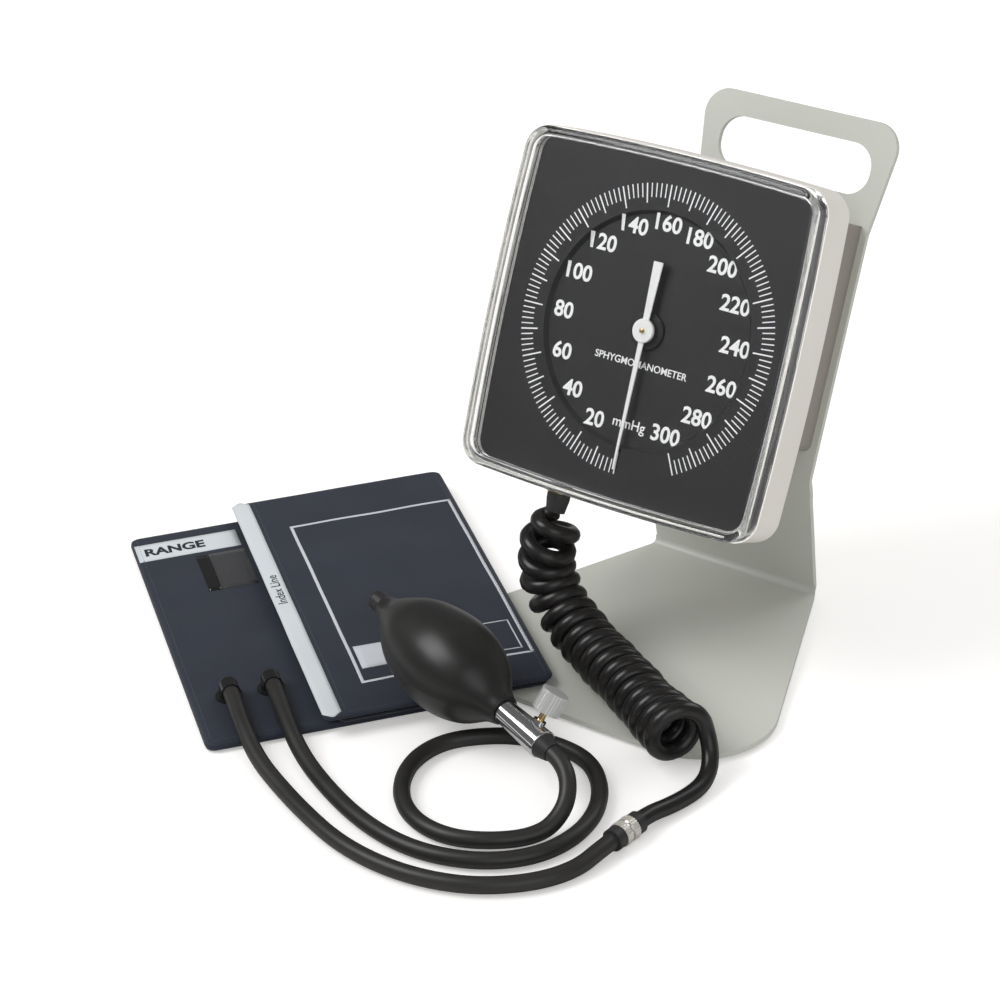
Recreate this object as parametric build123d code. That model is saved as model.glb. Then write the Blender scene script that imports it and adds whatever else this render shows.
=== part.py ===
from build123d import *
import math
import os

# Desk-standing aneroid blood pressure monitor: a square dial gauge on a bent plate stand with a
# storage bin behind it, a coiled hose, an arm cuff and a hand bulb.
# Millimetres, +Z up, origin at the middle of the stand's base on the resting surface, front at -Y.

# ---------------------------------------------------------------- stand
PLATE = 2.5
PAD_THICK = 1.5
PAD_INSET = 5.0
BASE_DEPTH = 146.0
BASE_BACK_WIDTH = 85.6
BASE_FRONT_WIDTH = 208.0
BASE_CORNER_RADIUS = 34.0
RISER_LENGTH = 63.4
RISER_LEAN = 7.2
PANEL_LENGTH = 161.5
PANEL_WIDTH = 89.2
TILT = 24.8
BEND_RADIUS = 4.0
HANDLE_WIDTH = 103.0
HANDLE_START = 112.0
HANDLE_CORNER = 12.0
SLOT_WIDTH = 78.6
SLOT_HEIGHT = 23.0
SLOT_CORNER = 10.5
GRIP_BAR = 11.0
EDGE_ROUND = 0.8

# ---------------------------------------------------------------- gauge head, in its own frame
# X across, Y up the dial, Z out of the dial; the dial face is Z = 0
HEAD_UP = 55.3
HEAD_OUT = 93.8
HOUSING_HALF = 76.2
HOUSING_HALF_HEIGHT = 77.6
CROWN = 2.0
HEAD_CORNER = 12.0
HOUSING_WALL = 2.4
HOUSING_BACK = 18.0
RIM_TOP = 2.2
BACK_ROUND = 3.0
LENS_INSET = 0.5
LENS_WALL = 3.2
LENS_FRONT = 11.0
LENS_FACE = 2.2
SEAT_GAP = 0.15
DIAL_THICK = 1.0
DISH_RADIUS = 51.6
DISH_DEPTH = 2.0
DIAL_BOSS_RADIUS = 8.5
DIAL_POST = 60.0
DIAL_POST_DIAMETER = 7.0

# pointer
POINTER_LENGTH = 61.0
POINTER_TAIL = 30.0
POINTER_THICK = 0.6
POINTER_HUB = 5.2
POINTER_LIFT = 0.9

# movement
MODULE = 0.5
PINION_TEETH = 12
GEAR_RATIO = 12
SCALE_SWEEP = 333.0
RUNNING_FIT = 0.04
ARBOR_RADIUS = 0.8
SECTOR_ARBOR_RADIUS = 0.9
MOVEMENT_BASE = 2.4
BASE_LEFT = -38.0
BASE_RIGHT = 46.0
BASE_LOW = -30.0
BASE_HIGH = 20.0
TOP_PLATE_FLOOR = -4.5
TOP_PLATE_THICK = 1.0
PILLAR_X = (-34.0, 42.0)
PILLAR_Y = 16.0
PILLAR_RADIUS = 2.2
CAPSULE_X = -9.0
CAPSULE_RADIUS = 22.0
CAPSULE_THICK = 3.4
CAPSULE_WALL = 0.4
CAPSULE_STAND = 0.5
STEM_RADIUS = 3.0
PIN_RADIUS = 0.8
SHAFT_Y = 5.0
SHAFT_Z = -7.1
SHAFT_RADIUS = 0.8
POST_RADIUS = 2.5
POST_PIN = 0.6
SECTOR_THICK = 1.0
SECTOR_FLOOR = -6.1
SECTOR_MARGIN = 4.0
ARM_GAP = 0.05
FOOT_GAP = 0.12
SPRING_TURNS = 4
SPRING_FLOOR = -7.2
BRIDGE_FLOOR = -8.3

# pressure inlet
INLET_X = -31.0
INLET_Z = -10.0
NIPPLE_RADIUS = 4.0
BARB_RADIUS = 2.5
SLEEVE_RADIUS = 5.2
SLEEVE_END_RADIUS = 4.2
SLEEVE_LENGTH = 9.0
TUBE_OUT = 2.0
TUBE_BORE = 1.2

# ---------------------------------------------------------------- storage bin
BIN_WIDTH = 83.0
BIN_BOTTOM = -43.0
BIN_TOP = 60.0
BIN_WALL = 2.5
BIN_ROUND = 4.0
SCREW_RADIUS = 2.0
SCREW_HEAD_RADIUS = 3.6
SCREW_HEAD = 2.4
NUT_RADIUS = 4.0
NUT_THICK = 3.0
HEAD_SCREW_X = 24.0
HEAD_SCREW_Y = (-36.0, 48.0)
HEAD_BOSS_RADIUS = 4.5
HEAD_BOSS = 7.0
BIN_SCREW_X = 30.0
BIN_SCREW_Y = (-28.0, 42.0)

# ---------------------------------------------------------------- hoses
HOSE = 7.4
HOSE_REST = HOSE / 2 + 0.2
COIL_OUTSIDE = 27.4
COIL_CLEAR = 0.3
END_RUN = 7.0
VALVE_RUN = 10.0

# ---------------------------------------------------------------- luer connector
CONNECTOR = (77.6, -132.5, 5.6)
CONNECTOR_HEADING = (-0.08, -0.997, 0.0)
RING_RADIUS = 5.3
RING_LENGTH = 3.2
RING_GAP = 1.6
CONNECTOR_SLEEVE = 4.5

# ---------------------------------------------------------------- cuff
# cuff frame: X down the cuff's height, Y across the folded stack
CUFF_CORNER = (-226.9, -12.3)
CUFF_TURN = -38.0
CUFF_HEIGHT = 199.0
PANEL_INSET = 5.0
CUFF_LEFT = -57.5
FLAP_LEFT = -6.0
FLAP_RIGHT = 97.5
CUFF_LIFT = 0.3
SHEET = 1.2
BLADDER_THICK = 1.5
FOLD_THICK = 2.0
PATCH_THICK = 0.7
FLAP_THICK = 2.0
TAPE_WIDTH = 8.4
TAPE_THICK = 0.4
PORT_X = 158.0
PORT_Y = (-39.9, -21.1)
PORT_STUB = 4.3
PORT_REACH = 6.0
PORT_RISE = 5.6
STAND_GAP = 1.5

# ---------------------------------------------------------------- bulb and release valve
BULB_NECK = (2.8, -112.3, 26.5)
BULB_TAIL = (-87.8, -84.4, 39.0)
BULB_RADIUS = 22.2
BULB_WALL = 2.4
NECK_RADIUS = 6.7
TAIL_RADIUS = 4.9
PLUG_LENGTH = 8.0
BOOT_LENGTH = 6.0
VALVE_LENGTH = 27.0
VALVE_RADIUS = 5.9
VALVE_FLARE = 0.5
VALVE_SOCKET = 9.0
STEM_ALONG = 19.0
STEM_ROLL = 35.0
NEEDLE_RADIUS = 1.5
NEEDLE_THREAD_CLEAR = 0.05
KNOB_RADIUS = 6.2
KNOB_LENGTH = 9.5
KNOB_LIFT = 11.8
KNOB_CAP = 1.6
NEEDLE_LIFT = 1.4
NEEDLE_END_GAP = 0.5


# ================================================================ frames
def along(angle):
    """Unit vector in the YZ plane, angle degrees back from straight up."""
    return Vector(0, math.sin(math.radians(angle)), math.cos(math.radians(angle)))


BASE_MID = PAD_THICK + PLATE / 2
BASE_TOP = PAD_THICK + PLATE
FOLD = Vector(0, BASE_DEPTH / 2, BASE_MID)
BEND = FOLD + along(-RISER_LEAN) * RISER_LENGTH
PANEL_UP = along(TILT)
PANEL_OUT = Vector(0, -PANEL_UP.Z, PANEL_UP.Y)
PANEL_PLANE = Plane(origin=BEND, x_dir=(1, 0, 0), z_dir=PANEL_OUT)
HEAD_PLANE = Plane(origin=BEND + PANEL_UP * HEAD_UP + PANEL_OUT * HEAD_OUT,
                   x_dir=(1, 0, 0), z_dir=PANEL_OUT)
CUFF_PLANE = Plane(origin=(CUFF_CORNER[0], CUFF_CORNER[1], CUFF_LIFT),
                   x_dir=Vector(1, 0, 0).rotate(Axis.Z, CUFF_TURN), z_dir=(0, 0, 1))

HOUSING_FLOOR = -HOUSING_BACK + HOUSING_WALL
PANEL_FACE = -(HEAD_OUT - PLATE / 2)
PITCH_RADIUS = MODULE * PINION_TEETH / 2
SECTOR_RADIUS = PITCH_RADIUS * GEAR_RATIO
SECTOR_X = PITCH_RADIUS + SECTOR_RADIUS
SECTOR_SWEEP = SCALE_SWEEP / GEAR_RATIO
MOVEMENT_TOP = HOUSING_FLOOR + MOVEMENT_BASE
CAPSULE_FLOOR = MOVEMENT_TOP + CAPSULE_STAND
CAPSULE_TOP = CAPSULE_FLOOR + CAPSULE_THICK
ARM_UNDER = SHAFT_Z - 0.5
PIN_TIP = ARM_UNDER - ARM_GAP


def in_head(shape):
    return HEAD_PLANE * shape


def block(low, high):
    """Box between two opposite corners."""
    size = [b - a for a, b in zip(low, high)]
    return Pos(*[(a + b) / 2 for a, b in zip(low, high)]) * Box(*size)


def rod(radius, start, end):
    """Round bar between two points."""
    start, end = Vector(*start), Vector(*end)
    plane = Plane(origin=start, z_dir=end - start)
    return plane * extrude(Circle(radius), amount=(end - start).length)


def ring(outer, inner, start, end):
    return rod(outer, start, end) - rod(inner, start, end)


def screw(shank, shank_length, head_radius, head):
    """Pan head screw: head from Z = 0 up, shank below."""
    cap = extrude(Circle(head_radius), amount=head)
    cap = fillet(cap.edges().sort_by(Axis.Z)[-1], head * 0.4)
    drive = Pos(0, 0, head) * Box(head_radius * 1.2, head * 0.35, head)
    return cap + Pos(0, 0, -shank_length) * extrude(Circle(shank), amount=shank_length) - drive


# ================================================================ stand
def base_outline(grow=0.0):
    """Base seen from above: a trapezoid wider at the front, with round front corners."""
    back, front, half = BASE_BACK_WIDTH / 2 + grow, BASE_FRONT_WIDTH / 2 + grow, BASE_DEPTH / 2 + grow
    sketch = make_face(Polyline((-back, half), (back, half), (front, -half), (-front, -half), close=True))
    return fillet(sketch.vertices().sort_by(Axis.Y)[:2], BASE_CORNER_RADIUS + grow)


def panel_outline():
    """Panel and handle in the panel's own plane: straight sides, then a flare to the handle."""
    side, top = PANEL_WIDTH / 2, HANDLE_WIDTH / 2
    points = [(-side, -2 * BEND_RADIUS), (side, -2 * BEND_RADIUS), (side, HANDLE_START),
              (top, PANEL_LENGTH), (-top, PANEL_LENGTH), (-side, HANDLE_START)]
    sketch = make_face(Polyline(*points, close=True))
    return fillet(sketch.vertices().sort_by(Axis.Y)[-2:], HANDLE_CORNER)


def stand_plate():
    top = BEND + PANEL_UP * PANEL_LENGTH
    route = FilletPolyline((-BASE_DEPTH / 2, BASE_MID), (FOLD.Y, FOLD.Z), (BEND.Y, BEND.Z),
                           (top.Y, top.Z), radius=BEND_RADIUS)
    strip = extrude(Plane.YZ * trace(route, PLATE), amount=BASE_FRONT_WIDTH, both=True)
    base = extrude(base_outline(), amount=BASE_TOP + BEND_RADIUS)
    base += Pos(0, BASE_DEPTH / 2, BASE_TOP / 2 + BEND_RADIUS / 2) * Box(
        BASE_BACK_WIDTH, 4 * BEND_RADIUS, BASE_TOP + BEND_RADIUS)
    back, side = BASE_BACK_WIDTH / 2, PANEL_WIDTH / 2
    riser = make_face(Polyline((-back, BASE_TOP), (back, BASE_TOP), (side, BEND.Z),
                               (side, BEND.Z + BEND_RADIUS), (-side, BEND.Z + BEND_RADIUS),
                               (-side, BEND.Z), close=True))
    riser = extrude(Plane.XZ * riser, amount=BASE_DEPTH, both=True)
    riser = riser & block((-BASE_FRONT_WIDTH, FOLD.Y - 6 * BEND_RADIUS, 0),
                          (BASE_FRONT_WIDTH, BASE_DEPTH, BEND.Z + BEND_RADIUS))
    panel = PANEL_PLANE * extrude(panel_outline(), amount=4 * PLATE, both=True)
    plate = strip & (base + riser + panel)
    slot_middle = PANEL_LENGTH - GRIP_BAR - SLOT_HEIGHT / 2
    slot = Pos(0, slot_middle) * RectangleRounded(SLOT_WIDTH, SLOT_HEIGHT, SLOT_CORNER)
    plate -= PANEL_PLANE * extrude(slot, amount=4 * PLATE, both=True)
    for x, y in bin_screw_places():
        plate -= in_head(rod(SCREW_RADIUS + 0.1, (x, y, PANEL_FACE + 1), (x, y, PANEL_FACE - 2 * PLATE)))
    return plate


def base_pad():
    """Thin non-slip sheet under the base."""
    return extrude(base_outline(-PAD_INSET), amount=PAD_THICK)


# ================================================================ storage bin and its screws
def bin_screw_places():
    return [(sx * BIN_SCREW_X, y) for sx in (-1, 1) for y in BIN_SCREW_Y]


def head_screw_places():
    return [(sx * HEAD_SCREW_X, y) for sx in (-1, 1) for y in HEAD_SCREW_Y]


def storage_bin():
    half = BIN_WIDTH / 2
    outer = block((-half, BIN_BOTTOM, PANEL_FACE), (half, BIN_TOP, -HOUSING_BACK))
    bottom = outer.faces().sort_by(Axis.Y)[0].edges().filter_by(Axis.Z)
    outer = fillet(bottom, BIN_ROUND)
    inner = block((BIN_WALL - half, BIN_BOTTOM + BIN_WALL, PANEL_FACE + BIN_WALL),
                  (half - BIN_WALL, BIN_TOP + 1, -HOUSING_BACK - BIN_WALL))
    inner = fillet(inner.edges().filter_by(Axis.Z).group_by(Axis.Y)[0], BIN_ROUND - BIN_WALL / 2)
    body = outer - inner
    for x, y in head_screw_places():
        body -= rod(SCREW_RADIUS + 0.1, (x, y, -HOUSING_BACK + 1), (x, y, -HOUSING_BACK - 2 * BIN_WALL))
    for x, y in bin_screw_places():
        body -= rod(SCREW_RADIUS + 0.1, (x, y, PANEL_FACE - 1), (x, y, PANEL_FACE + 2 * BIN_WALL))
    return in_head(body)


def head_screws():
    """Screws from inside the bin into the housing's rear bosses."""
    part = Rot(180, 0, 0) * screw(SCREW_RADIUS, BIN_WALL + HEAD_BOSS - 1, SCREW_HEAD_RADIUS, SCREW_HEAD)
    return [in_head(Pos(x, y, -HOUSING_BACK - BIN_WALL) * part) for x, y in head_screw_places()]


def bin_screws():
    part = screw(SCREW_RADIUS, BIN_WALL + PLATE + NUT_THICK + 0.6, SCREW_HEAD_RADIUS, SCREW_HEAD)
    return [in_head(Pos(x, y, PANEL_FACE + BIN_WALL) * part) for x, y in bin_screw_places()]


def bin_nuts():
    nut = extrude(RegularPolygon(NUT_RADIUS, 6) - Circle(SCREW_RADIUS + 0.02), amount=-NUT_THICK)
    return [in_head(Pos(x, y, PANEL_FACE - PLATE) * nut) for x, y in bin_screw_places()]


# ================================================================ gauge head
def crowned_plate(half_x, half_y, corner):
    """Nearly square plate with slightly bulging sides and round corners."""
    x, y = half_x - CROWN, half_y - CROWN
    points = [(-x, -y), (x, -y), (x, y), (-x, y)]
    middles = [(0, -half_y), (half_x, 0), (0, half_y), (-half_x, 0)]
    sides = [ThreePointArc(points[i], middles[i], points[(i + 1) % 4]) for i in range(4)]
    sketch = make_face(Curve() + sides)
    return fillet(sketch.vertices(), corner)


def shrunk(inset):
    """The head's outline drawn in by inset."""
    return crowned_plate(HOUSING_HALF - inset, HOUSING_HALF_HEIGHT - inset, HEAD_CORNER - inset)


def slab(sketch, low, high):
    return Pos(0, 0, low) * extrude(sketch, amount=high - low)


def gauge_housing():
    outer = slab(shrunk(0), -HOUSING_BACK, RIM_TOP)
    outer = fillet(outer.edges().group_by(Axis.Z)[0], BACK_ROUND)
    body = outer - slab(shrunk(HOUSING_WALL), HOUSING_FLOOR, RIM_TOP + 1)
    for sx in (-1, 1):
        for sy in (-1, 1):
            body += rod(DIAL_POST_DIAMETER / 2, (sx * DIAL_POST, sy * DIAL_POST, HOUSING_FLOOR),
                        (sx * DIAL_POST, sy * DIAL_POST, -DIAL_THICK))
    for x, y in head_screw_places():
        body += rod(HEAD_BOSS_RADIUS, (x, y, HOUSING_FLOOR), (x, y, HEAD_BOSS - HOUSING_BACK))
        body -= rod(SCREW_RADIUS, (x, y, -HOUSING_BACK - 1), (x, y, HEAD_BOSS - HOUSING_BACK - 0.8))
    for x, y in movement_screw_places():
        body -= rod(1.2, (x, y, HOUSING_FLOOR + 1), (x, y, HOUSING_FLOOR - 2.0))
    body -= rod(NIPPLE_RADIUS + 0.05, (INLET_X, -HOUSING_HALF_HEIGHT + 6, INLET_Z),
                (INLET_X, -HOUSING_HALF_HEIGHT - 1, INLET_Z))
    return in_head(body)


def lens():
    """Clear box-shaped front with a skirt that drops inside the housing rim."""
    inset = LENS_INSET
    box = slab(shrunk(inset), RIM_TOP + SEAT_GAP, LENS_FRONT)
    box = fillet(box.edges().group_by(Axis.Z)[-1], 2.6)
    hollow = slab(shrunk(inset + LENS_WALL), RIM_TOP + SEAT_GAP, LENS_FRONT - LENS_FACE)
    hollow = fillet(hollow.edges().group_by(Axis.Z)[-1], 1.4)
    skirt = slab(shrunk(HOUSING_WALL + SEAT_GAP), SEAT_GAP, RIM_TOP + SEAT_GAP)
    skirt -= slab(shrunk(HOUSING_WALL + SEAT_GAP + 1.6), SEAT_GAP, RIM_TOP + SEAT_GAP)
    return in_head(box - hollow + skirt)


def lens_gasket():
    """Thin seal between the housing rim and the lens flange."""
    seal = slab(shrunk(1.0), RIM_TOP, RIM_TOP + SEAT_GAP) - slab(shrunk(2.2), RIM_TOP, RIM_TOP + SEAT_GAP)
    return in_head(seal)


def dial_plate():
    """Black dial: flat rim, round dish inside the scale, small boss at the middle."""
    plate = slab(shrunk(HOUSING_WALL + 0.3), -DIAL_THICK, 0)
    floor = -DISH_DEPTH - DIAL_THICK
    plate += slab(Circle(DISH_RADIUS + 1.0), floor, -DIAL_THICK / 2)
    dish = Pos(0, 0, -DISH_DEPTH / 2) * Cone(DISH_RADIUS - 1.6, DISH_RADIUS, DISH_DEPTH)
    plate -= dish
    boss = slab(Circle(DIAL_BOSS_RADIUS), -DISH_DEPTH - 0.2, -DISH_DEPTH + 1.4)
    plate += fillet(boss.edges().sort_by(Axis.Z)[-1], 1.0)
    plate -= rod(2.0, (0, 0, floor - 1), (0, 0, 1))
    return in_head(plate)


def pointer():
    """White needle with a round hub and a widening counterweight tail; at zero it hangs down."""
    needle = make_face(Polyline((-1.3, 0), (-0.45, -POINTER_LENGTH), (0.45, -POINTER_LENGTH), (1.3, 0),
                                (2.3, POINTER_TAIL), (-2.3, POINTER_TAIL), close=True))
    blade = slab(needle, POINTER_LIFT, POINTER_LIFT + POINTER_THICK)
    hub = slab(Circle(POINTER_HUB), POINTER_LIFT, POINTER_LIFT + 1.4)
    hub = fillet(hub.edges().sort_by(Axis.Z)[-1], 0.5)
    return in_head(blade + hub - slab(Circle(ARBOR_RADIUS), 0, LENS_FRONT))


# ================================================================ movement
def tooth_points(radius, centre, addendum, dedendum, turn):
    """Four corners of one straight-sided tooth, narrow at its tip."""
    pitch = math.pi * MODULE
    corners = []
    for reach, share in ((-dedendum, -0.30), (addendum, -0.09), (addendum, 0.09), (-dedendum, 0.30)):
        r = radius + reach
        angle = math.radians(turn) + share * pitch / radius
        corners.append((centre[0] + r * math.cos(angle), centre[1] + r * math.sin(angle)))
    return corners


def pinion_sketch():
    points = []
    for i in range(PINION_TEETH):
        points += tooth_points(PITCH_RADIUS, (0, 0), 0.42, 0.55, i * 360 / PINION_TEETH)
    return make_face(Polyline(*points, close=True))


def sector_start():
    """Angle of the sector's middle at zero, seen from its own arbor."""
    return 180 - SECTOR_SWEEP / 2


def sector_sketch():
    """Toothed arc joined to its hub by a web; a gap faces the pinion at zero."""
    step = 360 / (PINION_TEETH * GEAR_RATIO)
    half = SECTOR_SWEEP / 2 + SECTOR_MARGIN
    first = math.ceil((sector_start() - half - 180 - step / 2) / step)
    count = int(2 * half / step)
    rim = []
    for i in range(count):
        turn = 180 + step / 2 + (first + i) * step
        rim += tooth_points(SECTOR_RADIUS, (SECTOR_X, 0), 0.42, 0.55, turn)
    wedge = make_face(Polyline(*rim, (SECTOR_X, 0), close=True))
    window = Pos(SECTOR_X, 0) * Rot(0, 0, sector_start()) * Pos(SECTOR_RADIUS * 0.52, 0)
    wedge -= window * Polygon((-9, -2.4), (11, -6.5), (11, 6.5), (-9, 2.4), align=None)
    return wedge + Pos(SECTOR_X, 0) * Circle(3.0)


def sector_gear():
    plate = slab(sector_sketch(), SECTOR_FLOOR, SECTOR_FLOOR + SECTOR_THICK)
    hub = slab(Pos(SECTOR_X, 0) * Circle(1.6), SECTOR_FLOOR - 1.2, SECTOR_FLOOR)
    angle = math.radians(sector_start())
    x = SECTOR_X + POST_RADIUS * math.cos(angle)
    y = POST_RADIUS * math.sin(angle)
    post = rod(POST_PIN, (x, y, SHAFT_Z - 5.8), (x, y, SECTOR_FLOOR + SECTOR_THICK / 2))
    body = plate + hub + post - slab(Pos(SECTOR_X, 0) * Circle(SECTOR_ARBOR_RADIUS), -20, 0)
    return in_head(body)


def sector_arbor():
    return in_head(rod(SECTOR_ARBOR_RADIUS, (SECTOR_X, 0, MOVEMENT_TOP - 1.5),
                       (SECTOR_X, 0, TOP_PLATE_FLOOR + TOP_PLATE_THICK)))


def pinion_arbor():
    """Arbor through dial and movement, with the pinion cut on it and the hairspring collet."""
    shaft = rod(ARBOR_RADIUS, (0, 0, BRIDGE_FLOOR), (0, 0, POINTER_LIFT + 2.0))
    teeth = slab(pinion_sketch(), SECTOR_FLOOR - 0.2, SECTOR_FLOOR + SECTOR_THICK + 0.2)
    collet = slab(Circle(1.3), SPRING_FLOOR - 0.05, SPRING_FLOOR + 0.45)
    return in_head(shaft + teeth + collet)


def hairspring():
    """Flat spiral ribbon from the collet to its stud."""
    inner, outer, width, steps = 1.45, 3.4, 0.16, 12 * SPRING_TURNS
    angles = [math.pi + 2 * math.pi * SPRING_TURNS * i / steps for i in range(steps + 1)]
    radii = [inner + (outer - inner) * i / steps for i in range(steps + 1)]
    near = [(r * math.cos(a), r * math.sin(a)) for r, a in zip(radii, angles)]
    far = [((r + width) * math.cos(a), (r + width) * math.sin(a)) for r, a in zip(radii, angles)]
    ribbon = make_face(Polyline(*near, *reversed(far), close=True))
    return in_head(slab(ribbon, SPRING_FLOOR, SPRING_FLOOR + 0.4))


def movement_screw_places():
    return [(BASE_LEFT + 4, 5.0), (-18.0, BASE_LOW + 4), (BASE_RIGHT - 4, BASE_LOW + 8),
            (BASE_RIGHT - 18, BASE_HIGH - 4)]


def movement_base():
    body = block((BASE_LEFT, BASE_LOW, HOUSING_FLOOR), (BASE_RIGHT, BASE_HIGH, MOVEMENT_TOP))
    body = fillet(body.edges().filter_by(Axis.Z), 4)
    lug_x = SECTOR_X + 1.3
    body += block((lug_x - 0.9, SHAFT_Y - 1.4, MOVEMENT_TOP - 0.5),
                  (lug_x + 0.9, SHAFT_Y + 1.6, SHAFT_Z + SHAFT_RADIUS + 0.5))
    body -= rod(SHAFT_RADIUS + RUNNING_FIT, (lug_x - 2, SHAFT_Y, SHAFT_Z), (lug_x + 2, SHAFT_Y, SHAFT_Z))
    body -= rod(SECTOR_ARBOR_RADIUS + RUNNING_FIT, (SECTOR_X, 0, MOVEMENT_TOP - 1.6),
                (SECTOR_X, 0, MOVEMENT_TOP + 1))
    body -= rod(STEM_RADIUS, (CAPSULE_X, 0, HOUSING_FLOOR + 1), (CAPSULE_X, 0, MOVEMENT_TOP + 1))
    middle = HOUSING_FLOOR + MOVEMENT_BASE / 2
    body -= rod(0.8, (INLET_X, BASE_LOW + 6, middle), (CAPSULE_X, 0, middle))
    body -= rod(0.8, (INLET_X, BASE_LOW + 6, middle), (INLET_X, BASE_LOW + 6, MOVEMENT_TOP + 1))
    for x, y in movement_screw_places():
        body -= rod(1.3, (x, y, HOUSING_FLOOR - 1), (x, y, MOVEMENT_TOP + 1))
    return in_head(body)


def movement_screws():
    part = screw(1.2, MOVEMENT_BASE + 1.6, 2.3, 1.1)
    return [in_head(Pos(x, y, MOVEMENT_TOP) * part) for x, y in movement_screw_places()]


def pillar_places():
    return [(x, sy * PILLAR_Y) for x in PILLAR_X for sy in (-1, 1)]


def movement_pillars():
    post = rod(PILLAR_RADIUS, (0, 0, MOVEMENT_TOP), (0, 0, TOP_PLATE_FLOOR))
    return [in_head(Pos(x, y, 0) * post) for x, y in pillar_places()]


def movement_top_plate():
    """Upper bearing plate with a lug for the rocker shaft's near end."""
    low, high = PILLAR_Y + 4, TOP_PLATE_FLOOR + TOP_PLATE_THICK
    body = block((BASE_LEFT, -low, TOP_PLATE_FLOOR), (BASE_RIGHT, low, high))
    body = fillet(body.edges().filter_by(Axis.Z), 4)
    body += block((CAPSULE_X - 6.0, SHAFT_Y - 1.6, SHAFT_Z - SHAFT_RADIUS - 0.5),
                  (CAPSULE_X - 4.2, SHAFT_Y + 1.6, TOP_PLATE_FLOOR + 0.5))
    body -= rod(SHAFT_RADIUS + RUNNING_FIT, (CAPSULE_X - 8, SHAFT_Y, SHAFT_Z),
                (CAPSULE_X - 2, SHAFT_Y, SHAFT_Z))
    body -= rod(ARBOR_RADIUS + RUNNING_FIT, (0, 0, TOP_PLATE_FLOOR - 1), (0, 0, high + 1))
    body -= rod(SECTOR_ARBOR_RADIUS + RUNNING_FIT, (SECTOR_X, 0, TOP_PLATE_FLOOR - 1),
                (SECTOR_X, 0, high + 1))
    for x, y in pillar_places():
        body -= rod(1.0, (x, y, TOP_PLATE_FLOOR - 1), (x, y, high + 1))
    return in_head(body)


def pillar_screws():
    """Low-headed screws that clamp the top plate; the pillars are solid below them."""
    part = screw(1.0, TOP_PLATE_THICK, 1.9, 0.35)
    high = TOP_PLATE_FLOOR + TOP_PLATE_THICK
    return [in_head(Pos(x, y, high) * part) for x, y in pillar_places()]


def pinion_bridge():
    """Small cock under the top plate that carries the arbor's inner pivot and the spring stud."""
    top = BRIDGE_FLOOR + 0.7
    bar = block((-4.6, -11.0, BRIDGE_FLOOR), (2.0, 2.0, top))
    post = block((-4.6, -11.0, top), (1.0, -8.0, TOP_PLATE_FLOOR))
    stud = rod(0.35, (-3.95, 0, top - 0.1), (-3.95, 0, SPRING_FLOOR + 0.45))
    hole = rod(ARBOR_RADIUS + RUNNING_FIT, (0, 0, BRIDGE_FLOOR - 1), (0, 0, top + 0.3))
    return in_head(bar + post + stud - hole)


def pressure_capsule():
    """Hollow disc of two corrugated membranes joined at the rim, on its inlet stem."""
    rise = CAPSULE_THICK / 2
    middle = CAPSULE_FLOOR + rise
    dip = rise - 0.6
    outline = [(0, rise), (7, rise), (9.5, dip), (12, rise), (14.5, dip), (17, rise),
               (CAPSULE_RADIUS - 1, 0.45), (CAPSULE_RADIUS, 0.45)]
    full = outline + [(x, -y) for x, y in reversed(outline)]
    inside = [(x * 0.93 if x > 17 else x, max(y - CAPSULE_WALL, 0.1)) for x, y in outline[:-1]]
    hollow = inside + [(x, -y) for x, y in reversed(inside)]
    shell = revolve(Plane.XZ * make_face(Polyline(*full, close=True)), Axis.Z)
    shell -= revolve(Plane.XZ * make_face(Polyline(*hollow, close=True)), Axis.Z)
    shell = Pos(CAPSULE_X, 0, middle) * shell
    stem_foot = HOUSING_FLOOR + 1
    shell += rod(STEM_RADIUS, (CAPSULE_X, 0, stem_foot), (CAPSULE_X, 0, CAPSULE_FLOOR + 0.2))
    shell -= rod(1.0, (CAPSULE_X, 0, stem_foot - 1), (CAPSULE_X, 0, middle))
    return in_head(shell)


def push_pin():
    """Pin on the capsule's front membrane, with a domed tip under the rocker arm."""
    body = rod(PIN_RADIUS, (CAPSULE_X, 0, CAPSULE_TOP + 0.02), (CAPSULE_X, 0, PIN_TIP - PIN_RADIUS))
    body += Pos(CAPSULE_X, 0, PIN_TIP - PIN_RADIUS) * Sphere(PIN_RADIUS)
    foot = rod(2.2, (CAPSULE_X, 0, CAPSULE_TOP + 0.02), (CAPSULE_X, 0, CAPSULE_TOP + 0.4))
    keep = block((CAPSULE_X - 5, -5, CAPSULE_TOP + 0.02), (CAPSULE_X + 5, 5, 0))
    return in_head((body + foot) & keep)


def rocker():
    """Shaft across the movement: one arm over the push pin, one foot beside the sector's post."""
    shaft = rod(SHAFT_RADIUS, (CAPSULE_X - 5.9, SHAFT_Y, SHAFT_Z), (SECTOR_X + 2.1, SHAFT_Y, SHAFT_Z))
    arm = block((CAPSULE_X - 1.0, -1.0, ARM_UNDER), (CAPSULE_X + 1.0, SHAFT_Y, SHAFT_Z + 0.3))
    angle = math.radians(sector_start())
    post_x = SECTOR_X + POST_RADIUS * math.cos(angle)
    post_y = POST_RADIUS * math.sin(angle)
    drop = SHAFT_Z - 5.0
    leg = block((post_x - 0.8, SHAFT_Y - 0.5, drop - 0.6), (post_x + 0.8, SHAFT_Y + 0.5, SHAFT_Z))
    foot = block((post_x - 0.8, post_y + POST_PIN + FOOT_GAP, drop - 0.6),
                 (post_x + 0.8, SHAFT_Y, drop + 0.6))
    return in_head(shaft + arm + leg + foot)


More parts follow.
